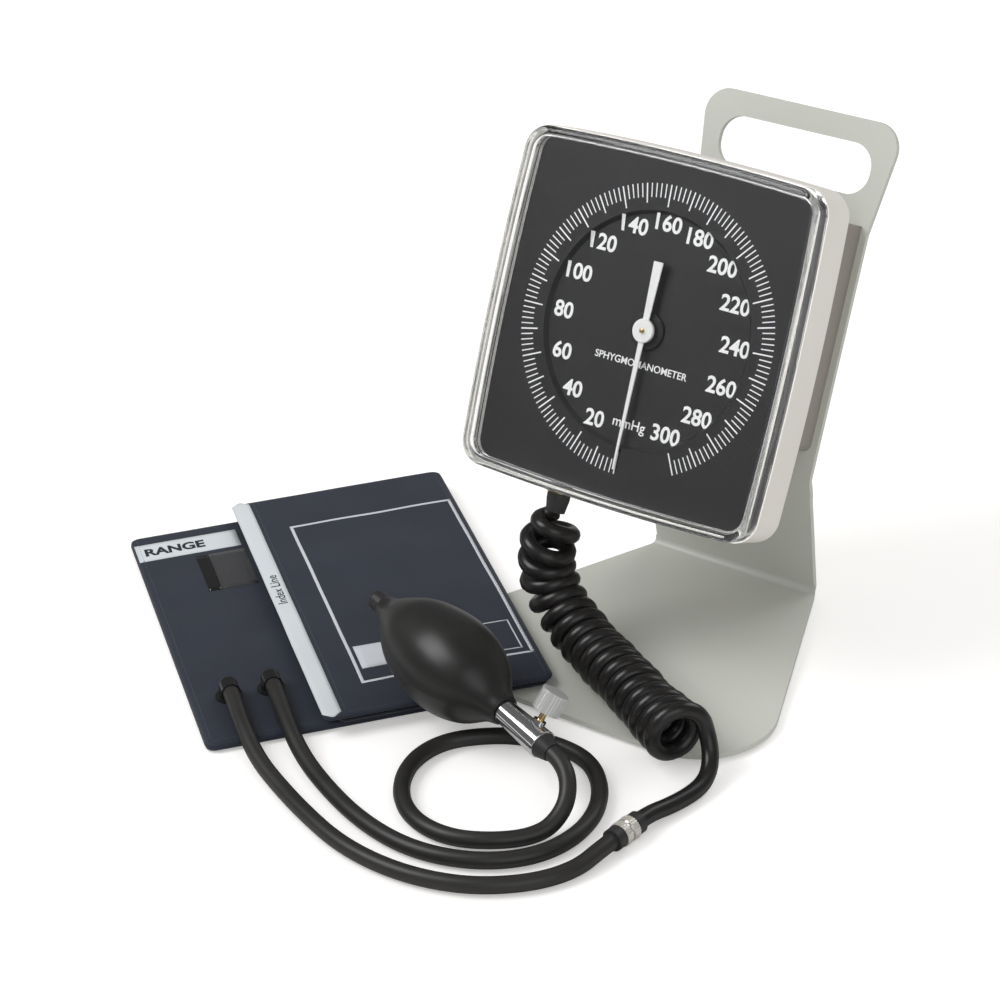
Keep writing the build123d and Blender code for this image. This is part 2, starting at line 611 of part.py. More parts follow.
# ================================================================ pressure inlet
def inlet_block():
    y = BASE_LOW + 6
    body = block((INLET_X - 4.5, y - 4.5, MOVEMENT_TOP), (INLET_X + 4.5, y + 4.5, INLET_Z + 3.2))
    body -= rod(TUBE_OUT, (INLET_X, y - 6, INLET_Z), (INLET_X, y - 1, INLET_Z))
    body -= rod(0.8, (INLET_X, y, MOVEMENT_TOP - 1), (INLET_X, y, INLET_Z))
    body -= rod(0.8, (INLET_X, y - 2, INLET_Z), (INLET_X, y, INLET_Z))
    return in_head(body)


def nipple_inner():
    return -HOUSING_HALF_HEIGHT + 5


def pressure_tube():
    return in_head(ring(TUBE_OUT, TUBE_BORE, (INLET_X, BASE_LOW + 5, INLET_Z),
                        (INLET_X, nipple_inner() - 1, INLET_Z)))


def inlet_nipple():
    """Brass hose barb through the housing's lower wall."""
    inner, wall, end = nipple_inner(), -HOUSING_HALF_HEIGHT, sleeve_end()
    body = rod(NIPPLE_RADIUS, (INLET_X, inner, INLET_Z), (INLET_X, wall, INLET_Z))
    body += rod(6.0, (INLET_X, wall, INLET_Z), (INLET_X, sleeve_start(), INLET_Z))
    body += rod(BARB_RADIUS, (INLET_X, sleeve_start(), INLET_Z), (INLET_X, end, INLET_Z))
    body -= rod(TUBE_OUT, (INLET_X, inner + 1, INLET_Z), (INLET_X, inner - 1, INLET_Z))
    body -= rod(TUBE_BORE, (INLET_X, inner + 1, INLET_Z), (INLET_X, end - 1, INLET_Z))
    return in_head(body)


def sleeve_start():
    return -HOUSING_HALF_HEIGHT - 2


def sleeve_end():
    return sleeve_start() - SLEEVE_LENGTH


def hose_strain_relief():
    """Rubber sleeve that narrows away from the housing."""
    sleeve = rod(SLEEVE_RADIUS, (INLET_X, sleeve_start(), INLET_Z), (INLET_X, sleeve_start() - 3, INLET_Z))
    plane = Plane(origin=(INLET_X, sleeve_start() - 3, INLET_Z), z_dir=(0, -1, 0))
    taper = SLEEVE_LENGTH - 3
    sleeve += plane * Pos(0, 0, taper / 2) * Cone(SLEEVE_RADIUS, SLEEVE_END_RADIUS, taper)
    return in_head(sleeve - rod(BARB_RADIUS, (INLET_X, 0, INLET_Z), (INLET_X, sleeve_end() - 1, INLET_Z)))


# ================================================================ hoses
def corner_radii(points):
    """Each corner's arc takes up to 0.45 of its shorter run."""
    radii = []
    for before, here, after in zip(points, points[1:], points[2:]):
        one, two = Vector(*here) - Vector(*before), Vector(*after) - Vector(*here)
        half_turn = math.radians(one.get_angle(two)) / 2
        radii.append(0.45 * min(one.length, two.length) / math.tan(half_turn))
    return radii


def hose(name, points, diameter):
    """Round tube along straight runs joined by tangent arcs."""
    radii = corner_radii(points)
    route = FilletPolyline(*points, radius=radii)
    section = Plane(origin=route @ 0, z_dir=route % 0) * Circle(diameter / 2)
    tube = sweep(section, path=route)
    length = sum(edge.length for edge in route.edges())
    share = tube.volume / (math.pi * diameter ** 2 / 4 * length)
    print(f"{name}: {length:.0f} mm, volume share {share:.4f}, radii", [round(r, 1) for r in radii])
    return tube


COIL_REST = BASE_TOP + COIL_CLEAR + COIL_OUTSIDE / 2


def coil_start(distance=0.0):
    """Point straight out from the middle of the strain relief's end face."""
    point = HEAD_PLANE.from_local_coords(Vector(INLET_X, sleeve_end() - distance, INLET_Z))
    return (point.X, point.Y, point.Z)


COIL_ROUTE = [(-34.5, -28.5, 46.5), (-31.5, -29.5, 34.0), (-20.0, -33.0, 23.5),
              (1.0, -41.5, COIL_REST), (36.0, -60.5, COIL_REST), (70.0, -80.2, COIL_REST)]
TAIL_ROUTE = [(78.6, -72.8, 17.0), (83.2, -77.6, 10.4), (85.6, -85.6, 5.0), (84.6, -95.6, HOSE_REST),
              (81.8, -106.0, 4.2)]
CUFF_HOSE_ROUTE = [(74.6, -163.0, HOSE_REST), (65.5, -179.5, HOSE_REST),
                   (48.0, -194.0, HOSE_REST), (28.0, -201.5, HOSE_REST), (6.0, -203.8, HOSE_REST),
                   (-18.0, -200.8, HOSE_REST), (-43.0, -191.8, HOSE_REST), (-65.0, -182.0, HOSE_REST),
                   (-84.0, -173.0, 5.2), (-102.0, -161.0, 8.8)]
BULB_HOSE_ROUTE = [(-87.5, -148.5, 8.8), (-69.0, -161.0, 5.0),
                   (-46.0, -172.8, HOSE_REST), (-20.5, -183.2, HOSE_REST), (4.0, -188.0, HOSE_REST),
                   (25.0, -185.6, HOSE_REST), (43.5, -177.0, HOSE_REST), (56.5, -163.0, HOSE_REST),
                   (61.5, -145.0, HOSE_REST), (59.0, -126.0, HOSE_REST), (49.5, -109.0, HOSE_REST),
                   (35.0, -96.5, HOSE_REST), (17.0, -90.5, HOSE_REST), (-1.5, -93.0, HOSE_REST),
                   (-16.0, -103.5, HOSE_REST), (-26.5, -118.5, HOSE_REST), (-29.0, -135.5, HOSE_REST),
                   (-23.0, -152.5, HOSE_REST), (-11.0, -166.0, HOSE_REST), (4.5, -173.0, HOSE_REST),
                   (21.0, -172.6, HOSE_REST), (35.5, -165.0, HOSE_REST), (45.5, -155.5, HOSE_REST),
                   (50.8, -146.0, 5.8), (51.2, -134.5, 12.5)]


def connector_point(distance):
    """Point on the connector's axis, distance from its middle towards the cuff."""
    point = Vector(*CONNECTOR) + Vector(*CONNECTOR_HEADING).normalized() * distance
    return (point.X, point.Y, point.Z)


def connector_reach():
    return RING_GAP / 2 + RING_LENGTH + CONNECTOR_SLEEVE


def coil_solid():
    return hose("coil", [coil_start(), coil_start(12.0)] + COIL_ROUTE, COIL_OUTSIDE)


def coil_tail():
    ends = [connector_point(-connector_reach() - END_RUN), connector_point(-connector_reach())]
    return hose("coil tail", TAIL_ROUTE + ends, HOSE)


def port_outlet(index, distance=0.0):
    """Point straight out from the middle of an elbow's outlet face."""
    local = Vector(PORT_X + PORT_REACH + distance, PORT_Y[index], stack_level("front") + PORT_RISE)
    point = CUFF_PLANE.from_local_coords(local)
    return (point.X, point.Y, point.Z)


def cuff_hose():
    start = [connector_point(connector_reach()), connector_point(connector_reach() + END_RUN)]
    return hose("cuff hose", start + CUFF_HOSE_ROUTE + [port_outlet(0, END_RUN), port_outlet(0)], HOSE)


def bulb_hose():
    reach = VALVE_LENGTH + BOOT_LENGTH
    ends = [valve_point(reach + VALVE_RUN), valve_point(reach)]
    return hose("bulb hose", [port_outlet(1), port_outlet(1, END_RUN)] + BULB_HOSE_ROUTE + ends, HOSE)


# ================================================================ connector
def knurled_ring(start, end, radius):
    """Ring with fine flutes around its rim."""
    count = 28
    flute = radius * 0.055
    start_point, end_point = Vector(*start), Vector(*end)
    plane = Plane(origin=start_point, z_dir=end_point - start_point)
    outline = Circle(radius)
    outline -= [Rot(0, 0, i * 360 / count) * Pos(radius, 0) * Circle(flute) for i in range(count)]
    return plane * extrude(outline, amount=(end_point - start_point).length)


def connector_half(side):
    """Metal half: an inner barrel inside the hose sleeve and a knurled ring."""
    near = side * RING_GAP / 2
    body = knurled_ring(connector_point(near), connector_point(near + side * RING_LENGTH), RING_RADIUS)
    body += rod(BARB_RADIUS, connector_point(near), connector_point(side * connector_reach()))
    if side > 0:
        body += rod(2.0, connector_point(near), connector_point(-RING_GAP / 2 - 2.2))
        return body - rod(1.0, connector_point(-9), connector_point(20))
    socket = rod(2.0 + RUNNING_FIT, connector_point(-RING_GAP / 2 - 2.4), connector_point(0))
    return body - socket - rod(1.0, connector_point(-20), connector_point(0))


def connector_collar():
    """Locking collar between the two rings; it turns on the male half's cone."""
    return ring(RING_RADIUS - 0.9, 2.0 + RUNNING_FIT, connector_point(0.06 - RING_GAP / 2),
                connector_point(RING_GAP / 2 - 0.06))


def hose_sleeves():
    """Black ferrules that hold both hoses on the connector's barbs."""
    parts = []
    for side in (-1, 1):
        near = side * (RING_GAP / 2 + RING_LENGTH)
        parts.append(ring(4.9, BARB_RADIUS, connector_point(near), connector_point(side * connector_reach())))
    return parts


# ================================================================ cuff
def stack_level(name):
    """Height of a layer's top in the cuff frame."""
    back = SHEET + BLADDER_THICK
    levels = {"back": back, "front": back + SHEET}
    levels["fold"] = levels["front"] + 0.4 + FOLD_THICK
    levels["loop"] = levels["fold"] + PATCH_THICK
    levels["hook"] = levels["loop"] + PATCH_THICK
    levels["flap"] = levels["hook"] + FLAP_THICK
    return levels[name]


def cuff_slab(low, high, bottom, top, corner=5.0):
    """Flat sheet in the cuff frame with round corners."""
    sheet = block((low[0], low[1], bottom), (high[0], high[1], top))
    return fillet(sheet.edges().filter_by(Axis.Z), corner)


def bladder_corners():
    return (20.0, CUFF_LEFT + 8), (CUFF_HEIGHT - PANEL_INSET - 14, 34.0)


def keep_off_stand(shape):
    """Take away what would lie in the stand's base."""
    cut = extrude(base_outline(STAND_GAP), amount=BASE_TOP + CUFF_LIFT)
    rest = shape - cut
    return rest.solids().sort_by(SortBy.VOLUME)[-1]


def cuff_back_panel():
    """Outer nylon sheet with the bladder pocket."""
    sheet = cuff_slab((PANEL_INSET, CUFF_LEFT), (CUFF_HEIGHT - PANEL_INSET, FLAP_RIGHT - 8), 0,
                      stack_level("back"))
    low, high = bladder_corners()
    sheet -= cuff_slab((low[0] - 0.3, low[1] - 0.3), (high[0] + 0.3, high[1] + 0.3), SHEET,
                       stack_level("back") + 1, corner=8)
    return keep_off_stand(CUFF_PLANE * sheet)


def bladder():
    low, high = bladder_corners()
    bag = cuff_slab(low, high, SHEET, stack_level("back"), corner=8)
    bag -= cuff_slab((low[0] + 1, low[1] + 1), (high[0] - 1, high[1] - 1), SHEET + 0.5,
                     stack_level("back") - 0.5, corner=7)
    for y in PORT_Y:
        bag -= rod(1.5, (PORT_X, y, SHEET + 0.6), (PORT_X, y, SHEET + BLADDER_THICK + 1))
    return CUFF_PLANE * bag


def cuff_front_panel():
    """Inner nylon sheet over the bladder, pierced for the ports."""
    sheet = cuff_slab((PANEL_INSET, CUFF_LEFT), (CUFF_HEIGHT - PANEL_INSET, FLAP_RIGHT - 8),
                      stack_level("back"), stack_level("front"))
    for y in PORT_Y:
        sheet -= rod(PORT_STUB - 1.3, (PORT_X, y, 0), (PORT_X, y, 20))
    return keep_off_stand(CUFF_PLANE * sheet)


def cuff_folded_tail():
    """The long end of the cuff, folded back under the label flap."""
    top = stack_level("fold")
    return CUFF_PLANE * cuff_slab((3.0, FLAP_LEFT + 6), (CUFF_HEIGHT - 2, FLAP_RIGHT - 1.5),
                                  top - FOLD_THICK, top)


def patch(name, inset):
    top = stack_level(name)
    return CUFF_PLANE * cuff_slab((inset, 12.0), (CUFF_HEIGHT - inset, FLAP_RIGHT - 10), top - PATCH_THICK, top)


def cuff_label_flap():
    top = stack_level("flap")
    return CUFF_PLANE * cuff_slab((0, FLAP_LEFT), (CUFF_HEIGHT, FLAP_RIGHT), top - FLAP_THICK, top)


def index_tape():
    """Pale tape sewn along the flap's free edge."""
    top = stack_level("flap")
    return CUFF_PLANE * cuff_slab((-1.5, FLAP_LEFT - 0.4), (CUFF_HEIGHT - 1, FLAP_LEFT - 0.4 + TAPE_WIDTH),
                                  top, top + TAPE_THICK, corner=2.5)


def range_window():
    """Woven window patch on the inner sheet, with its black bar."""
    top = stack_level("front")
    weave = block((33.0, -24.5, top), (67.0, -7.0, top + 0.4))
    bar = block((33.0, -30.5, top), (67.0, -24.5, top + 0.7))
    return CUFF_PLANE * (weave + bar)


def port_elbow(y):
    """Glossy elbow: a round foot, a short stub and a level outlet towards the near edge."""
    top = stack_level("front")
    level = top + PORT_RISE
    foot = rod(PORT_STUB + 1.8, (PORT_X, y, top), (PORT_X, y, top + 1.0))
    stub = rod(PORT_STUB, (PORT_X, y, top), (PORT_X, y, level))
    neck = rod(PORT_STUB - 1.5, (PORT_X, y, stack_level("back")), (PORT_X, y, top + 0.5))
    dome = Pos(PORT_X, y, level) * Sphere(PORT_STUB)
    outlet = rod(PORT_STUB, (PORT_X, y, level), (PORT_X + PORT_REACH, y, level))
    body = foot + stub + neck + dome + outlet
    body -= rod(1.4, (PORT_X, y, 0), (PORT_X, y, level))
    body -= rod(1.4, (PORT_X, y, level), (PORT_X + PORT_REACH + 1, y, level))
    return CUFF_PLANE * body


def port_elbows():
    return [port_elbow(y) for y in PORT_Y]


# ================================================================ bulb and release valve
def bulb_axis():
    return (Vector(*BULB_TAIL) - Vector(*BULB_NECK)).normalized()


def bulb_length():
    return (Vector(*BULB_TAIL) - Vector(*BULB_NECK)).length


def bulb_plane():
    """X along the bulb from the neck towards the tail."""
    axis = bulb_axis()
    return Plane(origin=BULB_NECK, x_dir=axis, z_dir=axis.cross(Vector(0, 0, 1)).cross(axis))


def bulb_profile(inset):
    """Half outline of the pear-shaped bulb: blunt at the neck, drawn out at the tail."""
    length = bulb_length() - PLUG_LENGTH
    shape = [(0.05, 0.37), (0.21, 0.79), (0.34, 0.96), (0.46, 1.0), (0.59, 0.94), (0.73, 0.79),
             (0.85, 0.54), (0.94, 0.31)]
    points = [(0, NECK_RADIUS - inset)] + [(x * length, r * BULB_RADIUS - inset) for x, r in shape]
    points.append((length, TAIL_RADIUS - inset))
    return Spline(*points), points


def bulb():
    """Rubber squeeze bulb, open at both ends."""
    outer, outer_points = bulb_profile(0)
    inner, inner_points = bulb_profile(BULB_WALL)
    ends = [Line(outer_points[-1], inner_points[-1]), Line(inner_points[0], outer_points[0])]
    wall = make_face(Curve() + [outer, inner] + ends)
    return bulb_plane() * revolve(wall, Axis.X)


def tail_valve():
    """End valve plug with its air hole, pressed into the bulb's tail."""
    length = bulb_length()
    start = length - PLUG_LENGTH
    plug = rod(TAIL_RADIUS - BULB_WALL, (start - 5, 0, 0), (start, 0, 0))
    cap = rod(TAIL_RADIUS - 0.4, (start, 0, 0), (length, 0, 0))
    cap = fillet(cap.edges().filter_by(GeomType.CIRCLE).sort_by(Axis.X)[-1], 2.8)
    body = cap + plug - rod(0.9, (start - 7, 0, 0), (length + 5, 0, 0))
    return bulb_plane() * (body - Pos(length - 4, 0, 0) * Sphere(2.3))


def tail_ball():
    """Check ball that lets air in and not out."""
    return bulb_plane() * Pos(bulb_length() - 4, 0, 0) * Sphere(1.7)


def valve_point(distance):
    """Point on the valve's axis, distance from the bulb's neck towards the hose."""
    point = Vector(*BULB_NECK) - bulb_axis() * distance
    return (point.X, point.Y, point.Z)


def stem_heading():
    """Stem direction: square to the valve, rolled from upright towards the back."""
    axis = bulb_axis()
    level = axis.cross(Vector(0, 0, 1)).normalized()
    if level.Y < 0:
        level = level * -1
    upright = (Vector(0, 0, 1) - axis * axis.Z).normalized()
    roll = math.radians(STEM_ROLL)
    return upright * math.cos(roll) + level * math.sin(roll)


def stem_point(lift):
    """Point on the stem's axis, lift from the valve's axis."""
    point = Vector(*valve_point(STEM_ALONG)) + stem_heading() * lift
    return (point.X, point.Y, point.Z)


def valve_body():
    """Chromed barrel: spigot in the bulb's neck, bore, and the threaded stem seat."""
    plane = Plane(origin=valve_point(VALVE_LENGTH / 2), z_dir=bulb_axis() * -1)
    body = plane * Cone(VALVE_RADIUS - VALVE_FLARE, VALVE_RADIUS + VALVE_FLARE, VALVE_LENGTH)
    body = fillet(body.edges().filter_by(GeomType.CIRCLE), 0.5)
    body += rod(NECK_RADIUS - BULB_WALL, valve_point(0.5), valve_point(-VALVE_SOCKET))
    body += rod(2.9, stem_point(0), stem_point(VALVE_RADIUS + 1.6))
    body -= rod(1.6, valve_point(-VALVE_SOCKET - 1), valve_point(VALVE_LENGTH + 1))
    body -= rod(NEEDLE_RADIUS + NEEDLE_THREAD_CLEAR, stem_point(0), stem_point(VALVE_RADIUS + 4))
    return body - rod(2.6, valve_point(4.5), valve_point(8.5))


def valve_hose_boot():
    """Rubber boot that leads the hose off the valve."""
    plane = Plane(origin=valve_point(VALVE_LENGTH + BOOT_LENGTH / 2), z_dir=bulb_axis() * -1)
    boot = plane * Cone(VALVE_RADIUS, HOSE / 2 + 0.5, BOOT_LENGTH)
    return boot - rod(1.6, valve_point(VALVE_LENGTH - 1), valve_point(VALVE_LENGTH + BOOT_LENGTH + 1))


def outlet_disc():
    """Check disc behind the stem that lets air out to the cuff and not back."""
    return rod(2.2, valve_point(6.0), valve_point(7.0))


def knob_bore_end():
    return KNOB_LIFT + KNOB_LENGTH - KNOB_CAP


def needle_stem():
    """Threaded needle that closes the vent; it climbs inside the knob as the knob turns."""
    stem = rod(NEEDLE_RADIUS, stem_point(1.0), stem_point(knob_bore_end() - NEEDLE_END_GAP - NEEDLE_LIFT))
    return fillet(stem.edges().filter_by(GeomType.CIRCLE), 0.4)


def release_knob():
    """Knurled thumb screw head on the needle."""
    body = knurled_ring(stem_point(KNOB_LIFT), stem_point(KNOB_LIFT + KNOB_LENGTH), KNOB_RADIUS)
    return body - rod(NEEDLE_RADIUS + RUNNING_FIT, stem_point(KNOB_LIFT - 1), stem_point(knob_bore_end()))


NODES = {
    "stand_plate": stand_plate, "base_pad": base_pad,
    "storage_bin": storage_bin, "head_screws": head_screws, "bin_screws": bin_screws, "bin_nuts": bin_nuts,
    "gauge_housing": gauge_housing, "gauge_lens": lens, "lens_gasket": lens_gasket, "dial_plate": dial_plate,
    "pointer": pointer, "pinion_arbor": pinion_arbor, "hairspring": hairspring,
    "sector_gear": sector_gear, "sector_arbor": sector_arbor, "rocker_shaft": rocker,
    "push_pin": push_pin, "pressure_capsule": pressure_capsule,
    "movement_base": movement_base, "movement_screws": movement_screws,
    "movement_pillars": movement_pillars, "movement_top_plate": movement_top_plate,
    "pillar_screws": pillar_screws, "pinion_bridge": pinion_bridge,
    "inlet_block": inlet_block, "pressure_tube": pressure_tube, "inlet_nipple": inlet_nipple,
    "hose_strain_relief": hose_strain_relief,
    "coiled_hose": coil_solid, "coiled_hose_tail": coil_tail, "cuff_hose": cuff_hose, "bulb_hose": bulb_hose,
    "connector_female": lambda: connector_half(-1), "connector_male": lambda: connector_half(1),
    "connector_collar": connector_collar, "connector_sleeves": hose_sleeves,
    "cuff_back_panel": cuff_back_panel, "cuff_bladder": bladder, "cuff_front_panel": cuff_front_panel,
    "cuff_folded_tail": cuff_folded_tail, "loop_patch": lambda: patch("loop", 16.0),
    "hook_patch": lambda: patch("hook", 26.0), "cuff_label_flap": cuff_label_flap,
    "index_tape": index_tape, "range_window": range_window, "port_elbows": port_elbows,
    "squeeze_bulb": bulb, "tail_valve": tail_valve, "tail_check_ball": tail_ball,
    "release_valve_body": valve_body, "valve_hose_boot": valve_hose_boot, "outlet_check_disc": outlet_disc,
    "needle_stem": needle_stem, "release_knob": release_knob,
}


def main():
    os.makedirs("parts", exist_ok=True)
    for name, make in NODES.items():
        shape = make()
        if isinstance(shape, list):
            shape = Compound(children=[Compound(s.solids()) if len(s.solids()) > 1 else s.solid() for s in shape])
        export_step(shape, f"parts/{name}.step")


main()
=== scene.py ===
import math
import bmesh
import bpy
import numpy as np
from mathutils import Matrix


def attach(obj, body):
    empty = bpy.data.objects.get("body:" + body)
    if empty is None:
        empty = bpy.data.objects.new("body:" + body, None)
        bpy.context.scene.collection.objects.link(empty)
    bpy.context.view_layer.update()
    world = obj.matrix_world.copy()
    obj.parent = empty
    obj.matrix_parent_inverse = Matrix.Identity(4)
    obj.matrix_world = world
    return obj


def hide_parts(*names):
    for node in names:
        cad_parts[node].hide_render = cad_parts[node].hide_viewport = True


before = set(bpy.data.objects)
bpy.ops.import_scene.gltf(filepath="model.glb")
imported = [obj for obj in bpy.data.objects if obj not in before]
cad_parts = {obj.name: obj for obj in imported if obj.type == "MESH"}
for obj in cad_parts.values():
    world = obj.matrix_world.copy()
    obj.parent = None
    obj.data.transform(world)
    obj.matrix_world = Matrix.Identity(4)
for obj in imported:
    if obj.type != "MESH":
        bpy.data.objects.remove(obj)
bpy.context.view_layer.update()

ROOT = "stand_and_gauge"
MM = 0.001

# ---------------------------------------------------------------- places, in millimetres
TILT = math.radians(24.8)
HEAD_UP = np.array([0, math.sin(TILT), math.cos(TILT)])
HEAD_OUT = np.array([0, -math.cos(TILT), math.sin(TILT)])
HEAD_X = np.array([1.0, 0, 0])
HEAD_AT = np.array([0, 3.1, 155.195])
CUFF_TURN = math.radians(-38.0)
CUFF_X = np.array([math.cos(CUFF_TURN), math.sin(CUFF_TURN), 0])
CUFF_Y = np.array([-math.sin(CUFF_TURN), math.cos(CUFF_TURN), 0])
CUFF_AT = np.array([-226.9, -12.3, 0.3])
BULB_NECK = np.array([2.8, -112.3, 26.5])
BULB_TAIL = np.array([-87.8, -84.4, 39.0])
BULB_RADIUS = 22.2
HOSE = 7.4
HOSE_REST = HOSE / 2 + 0.2
SCALE_SWEEP = 333.0
SCALE_TOP = 300
DISH_FLOOR = 50.0
DISH_SLOPE = 1.6
DISH_DEPTH = 2.0
NUMBER_ACROSS = 43.4
NUMBER_UP = 46.2


# ---------------------------------------------------------------- meshes
def make_piece(name, points, faces, body=ROOT, smooth=True):
    """Mesh object from an array of points in millimetres and a list or array of faces."""
    mesh = bpy.data.meshes.new(name)
    faces = faces.tolist() if isinstance(faces, np.ndarray) else faces
    mesh.from_pydata((np.asarray(points) * MM).tolist(), [], faces)
    mesh.update()
    piece = bpy.data.objects.new(name, mesh)
    bpy.context.scene.collection.objects.link(piece)
    if smooth:
        mesh.polygons.foreach_set("use_smooth", np.ones(len(mesh.polygons), bool))
    if body:
        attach(piece, body)
    return piece


def grid_faces(rows, columns, wrap=False, offset=0, flip=False):
    """Quads of a rows by columns grid; wrap joins the last column to the first."""
    i, j = np.meshgrid(np.arange(rows - 1), np.arange(columns if wrap else columns - 1), indexing="ij")
    k = (j + 1) % columns
    quads = np.stack([i * columns + j, i * columns + k, (i + 1) * columns + k, (i + 1) * columns + j], -1)
    quads = quads.reshape(-1, 4) + offset
    return quads[:, ::-1] if flip else quads


def set_uv(piece, coordinates):
    """UV map from one (u, v) pair for each vertex."""
    layer = piece.data.uv_layers.new(name="UVMap")
    loops = np.empty(len(piece.data.loops), int)
    piece.data.loops.foreach_get("vertex_index", loops)
    layer.data.foreach_set("uv", np.asarray(coordinates)[loops].ravel())


def close_mesh(piece, reach=1e-7):
    """Join corners closer than the reach, in metres, and point every face outwards."""
    mesh = bmesh.new()
    mesh.from_mesh(piece.data)
    bmesh.ops.remove_doubles(mesh, verts=mesh.verts, dist=reach)
    bmesh.ops.recalc_face_normals(mesh, faces=mesh.faces)
    mesh.to_mesh(piece.data)
    mesh.free()


def head_point(x, y, z):
    """Point of the head's frame: across, up the dial, out of the dial."""
    return (HEAD_AT + np.multiply.outer(x, HEAD_X) + np.multiply.outer(y, HEAD_UP)
            + np.multiply.outer(z, HEAD_OUT))


def cuff_point(a, b, z):
    """Point of the cuff's frame: down its height, across the fold, up."""
    return (CUFF_AT + np.multiply.outer(a, CUFF_X) + np.multiply.outer(b, CUFF_Y)
            + np.multiply.outer(z, np.array([0, 0, 1.0])))


# ---------------------------------------------------------------- materials
def new_material(name, colour, roughness, metallic=0.0, **extra):
    """Principled material with its constants on the shader itself."""
    material = bpy.data.materials.new(name)
    material.use_nodes = True
    shader = material.node_tree.nodes["Principled BSDF"]
    shader.inputs["Base Color"].default_value = (*colour, 1)
    shader.inputs["Roughness"].default_value = roughness
    shader.inputs["Metallic"].default_value = metallic
    for socket, value in extra.items():
        shader.inputs[socket].default_value = value
    return material


def texture_node(material, kind, coordinate="Object", stretch=(1, 1, 1), turn=(0, 0, 0), **settings):
    """A texture node read through a mapping, in the piece's own coordinates."""
    nodes, links = material.node_tree.nodes, material.node_tree.links
    source = nodes.new("ShaderNodeTexCoord")
    mapping = nodes.new("ShaderNodeMapping")
    mapping.inputs["Scale"].default_value = stretch
    mapping.inputs["Rotation"].default_value = turn
    links.new(source.outputs[coordinate], mapping.inputs["Vector"])
    node = nodes.new(kind)
    links.new(mapping.outputs["Vector"], node.inputs["Vector"])
    for key, value in settings.items():
        if key in node.inputs:
            node.inputs[key].default_value = value
        else:
            setattr(node, key, value)
    return node


def value_of(node):
    return node.outputs["Fac"] if "Fac" in node.outputs else node.outputs[0]


def tint_by(material, node, colour_a, colour_b, low=0.3, high=0.7):
    """Colour ramp between two near colours, driven by a texture."""
    nodes, links = material.node_tree.nodes, material.node_tree.links
    ramp = nodes.new("ShaderNodeValToRGB")
    ramp.color_ramp.elements[0].color = (*colour_a, 1)
    ramp.color_ramp.elements[1].color = (*colour_b, 1)
    ramp.color_ramp.elements[0].position = low
    ramp.color_ramp.elements[1].position = high
    links.new(value_of(node), ramp.inputs["Fac"])
    links.new(ramp.outputs["Color"], nodes["Principled BSDF"].inputs["Base Color"])


def roughen_by(material, node, low, high):
    """Roughness that varies between two values with a texture."""
    nodes, links = material.node_tree.nodes, material.node_tree.links
    spread = nodes.new("ShaderNodeMapRange")
    spread.inputs["To Min"].default_value = low
    spread.inputs["To Max"].default_value = high
    links.new(value_of(node), spread.inputs["Value"])
    links.new(spread.outputs["Result"], nodes["Principled BSDF"].inputs["Roughness"])


def bump_by(material, node, height_mm, strength=1.0, invert=False):
    """Relief of the given height, added to any relief already there."""
    nodes, links = material.node_tree.nodes, material.node_tree.links
    shader = nodes["Principled BSDF"]
    bump = nodes.new("ShaderNodeBump")
    bump.inputs["Distance"].default_value = height_mm * MM
    bump.inputs["Strength"].default_value = strength
    bump.invert = invert
    links.new(value_of(node), bump.inputs["Height"])
    if shader.inputs["Normal"].is_linked:
        links.new(shader.inputs["Normal"].links[0].from_socket, bump.inputs["Normal"])
    links.new(bump.outputs["Normal"], shader.inputs["Normal"])


def painted(name, colour, shade, roughness=0.42):
    """Stove enamel: fine orange peel and a slight drift of tone."""
    material = new_material(name, colour, roughness, **{"Specular IOR Level": 0.45})
    drift = texture_node(material, "ShaderNodeTexNoise", Scale=9.0, Detail=3.0)
    tint_by(material, drift, shade, colour)
    peel = texture_node(material, "ShaderNodeTexNoise", Scale=900.0, Detail=2.0)
    bump_by(material, peel, 0.05, 0.35)
    roughen_by(material, drift, roughness - 0.05, roughness + 0.06)
    return material


def moulded(name, colour, shade, roughness=0.38, grain=0.03):
    """Moulded plastic with a fine spark-eroded grain."""
    material = new_material(name, colour, roughness)
    drift = texture_node(material, "ShaderNodeTexNoise", Scale=14.0, Detail=2.0)
    tint_by(material, drift, shade, colour)
    fine = texture_node(material, "ShaderNodeTexVoronoi", Scale=1800.0)
    fine_value = fine.outputs["Distance"]
    nodes, links = material.node_tree.nodes, material.node_tree.links
    bump = nodes.new("ShaderNodeBump")
    bump.inputs["Distance"].default_value = grain * MM
    bump.inputs["Strength"].default_value = 0.4
    links.new(fine_value, bump.inputs["Height"])
    links.new(bump.outputs["Normal"], nodes["Principled BSDF"].inputs["Normal"])
    roughen_by(material, drift, roughness - 0.04, roughness + 0.05)
    return material


def rubber(name, colour, shade, roughness, haze=0.04, sheen=0.0):
    """Moulded rubber: faint bloom, soft gloss and a very fine tooth."""
    material = new_material(name, colour, roughness, **{"Specular IOR Level": 0.5, "Sheen Weight": sheen})
    bloom = texture_node(material, "ShaderNodeTexNoise", Scale=45.0, Detail=6.0, Roughness=0.6)
    tint_by(material, bloom, colour, shade, 0.35, 0.8)
    roughen_by(material, bloom, roughness - haze, roughness + haze)
    tooth = texture_node(material, "ShaderNodeTexNoise", Scale=1500.0, Detail=3.0)
    bump_by(material, tooth, 0.03, 0.3)
    return material


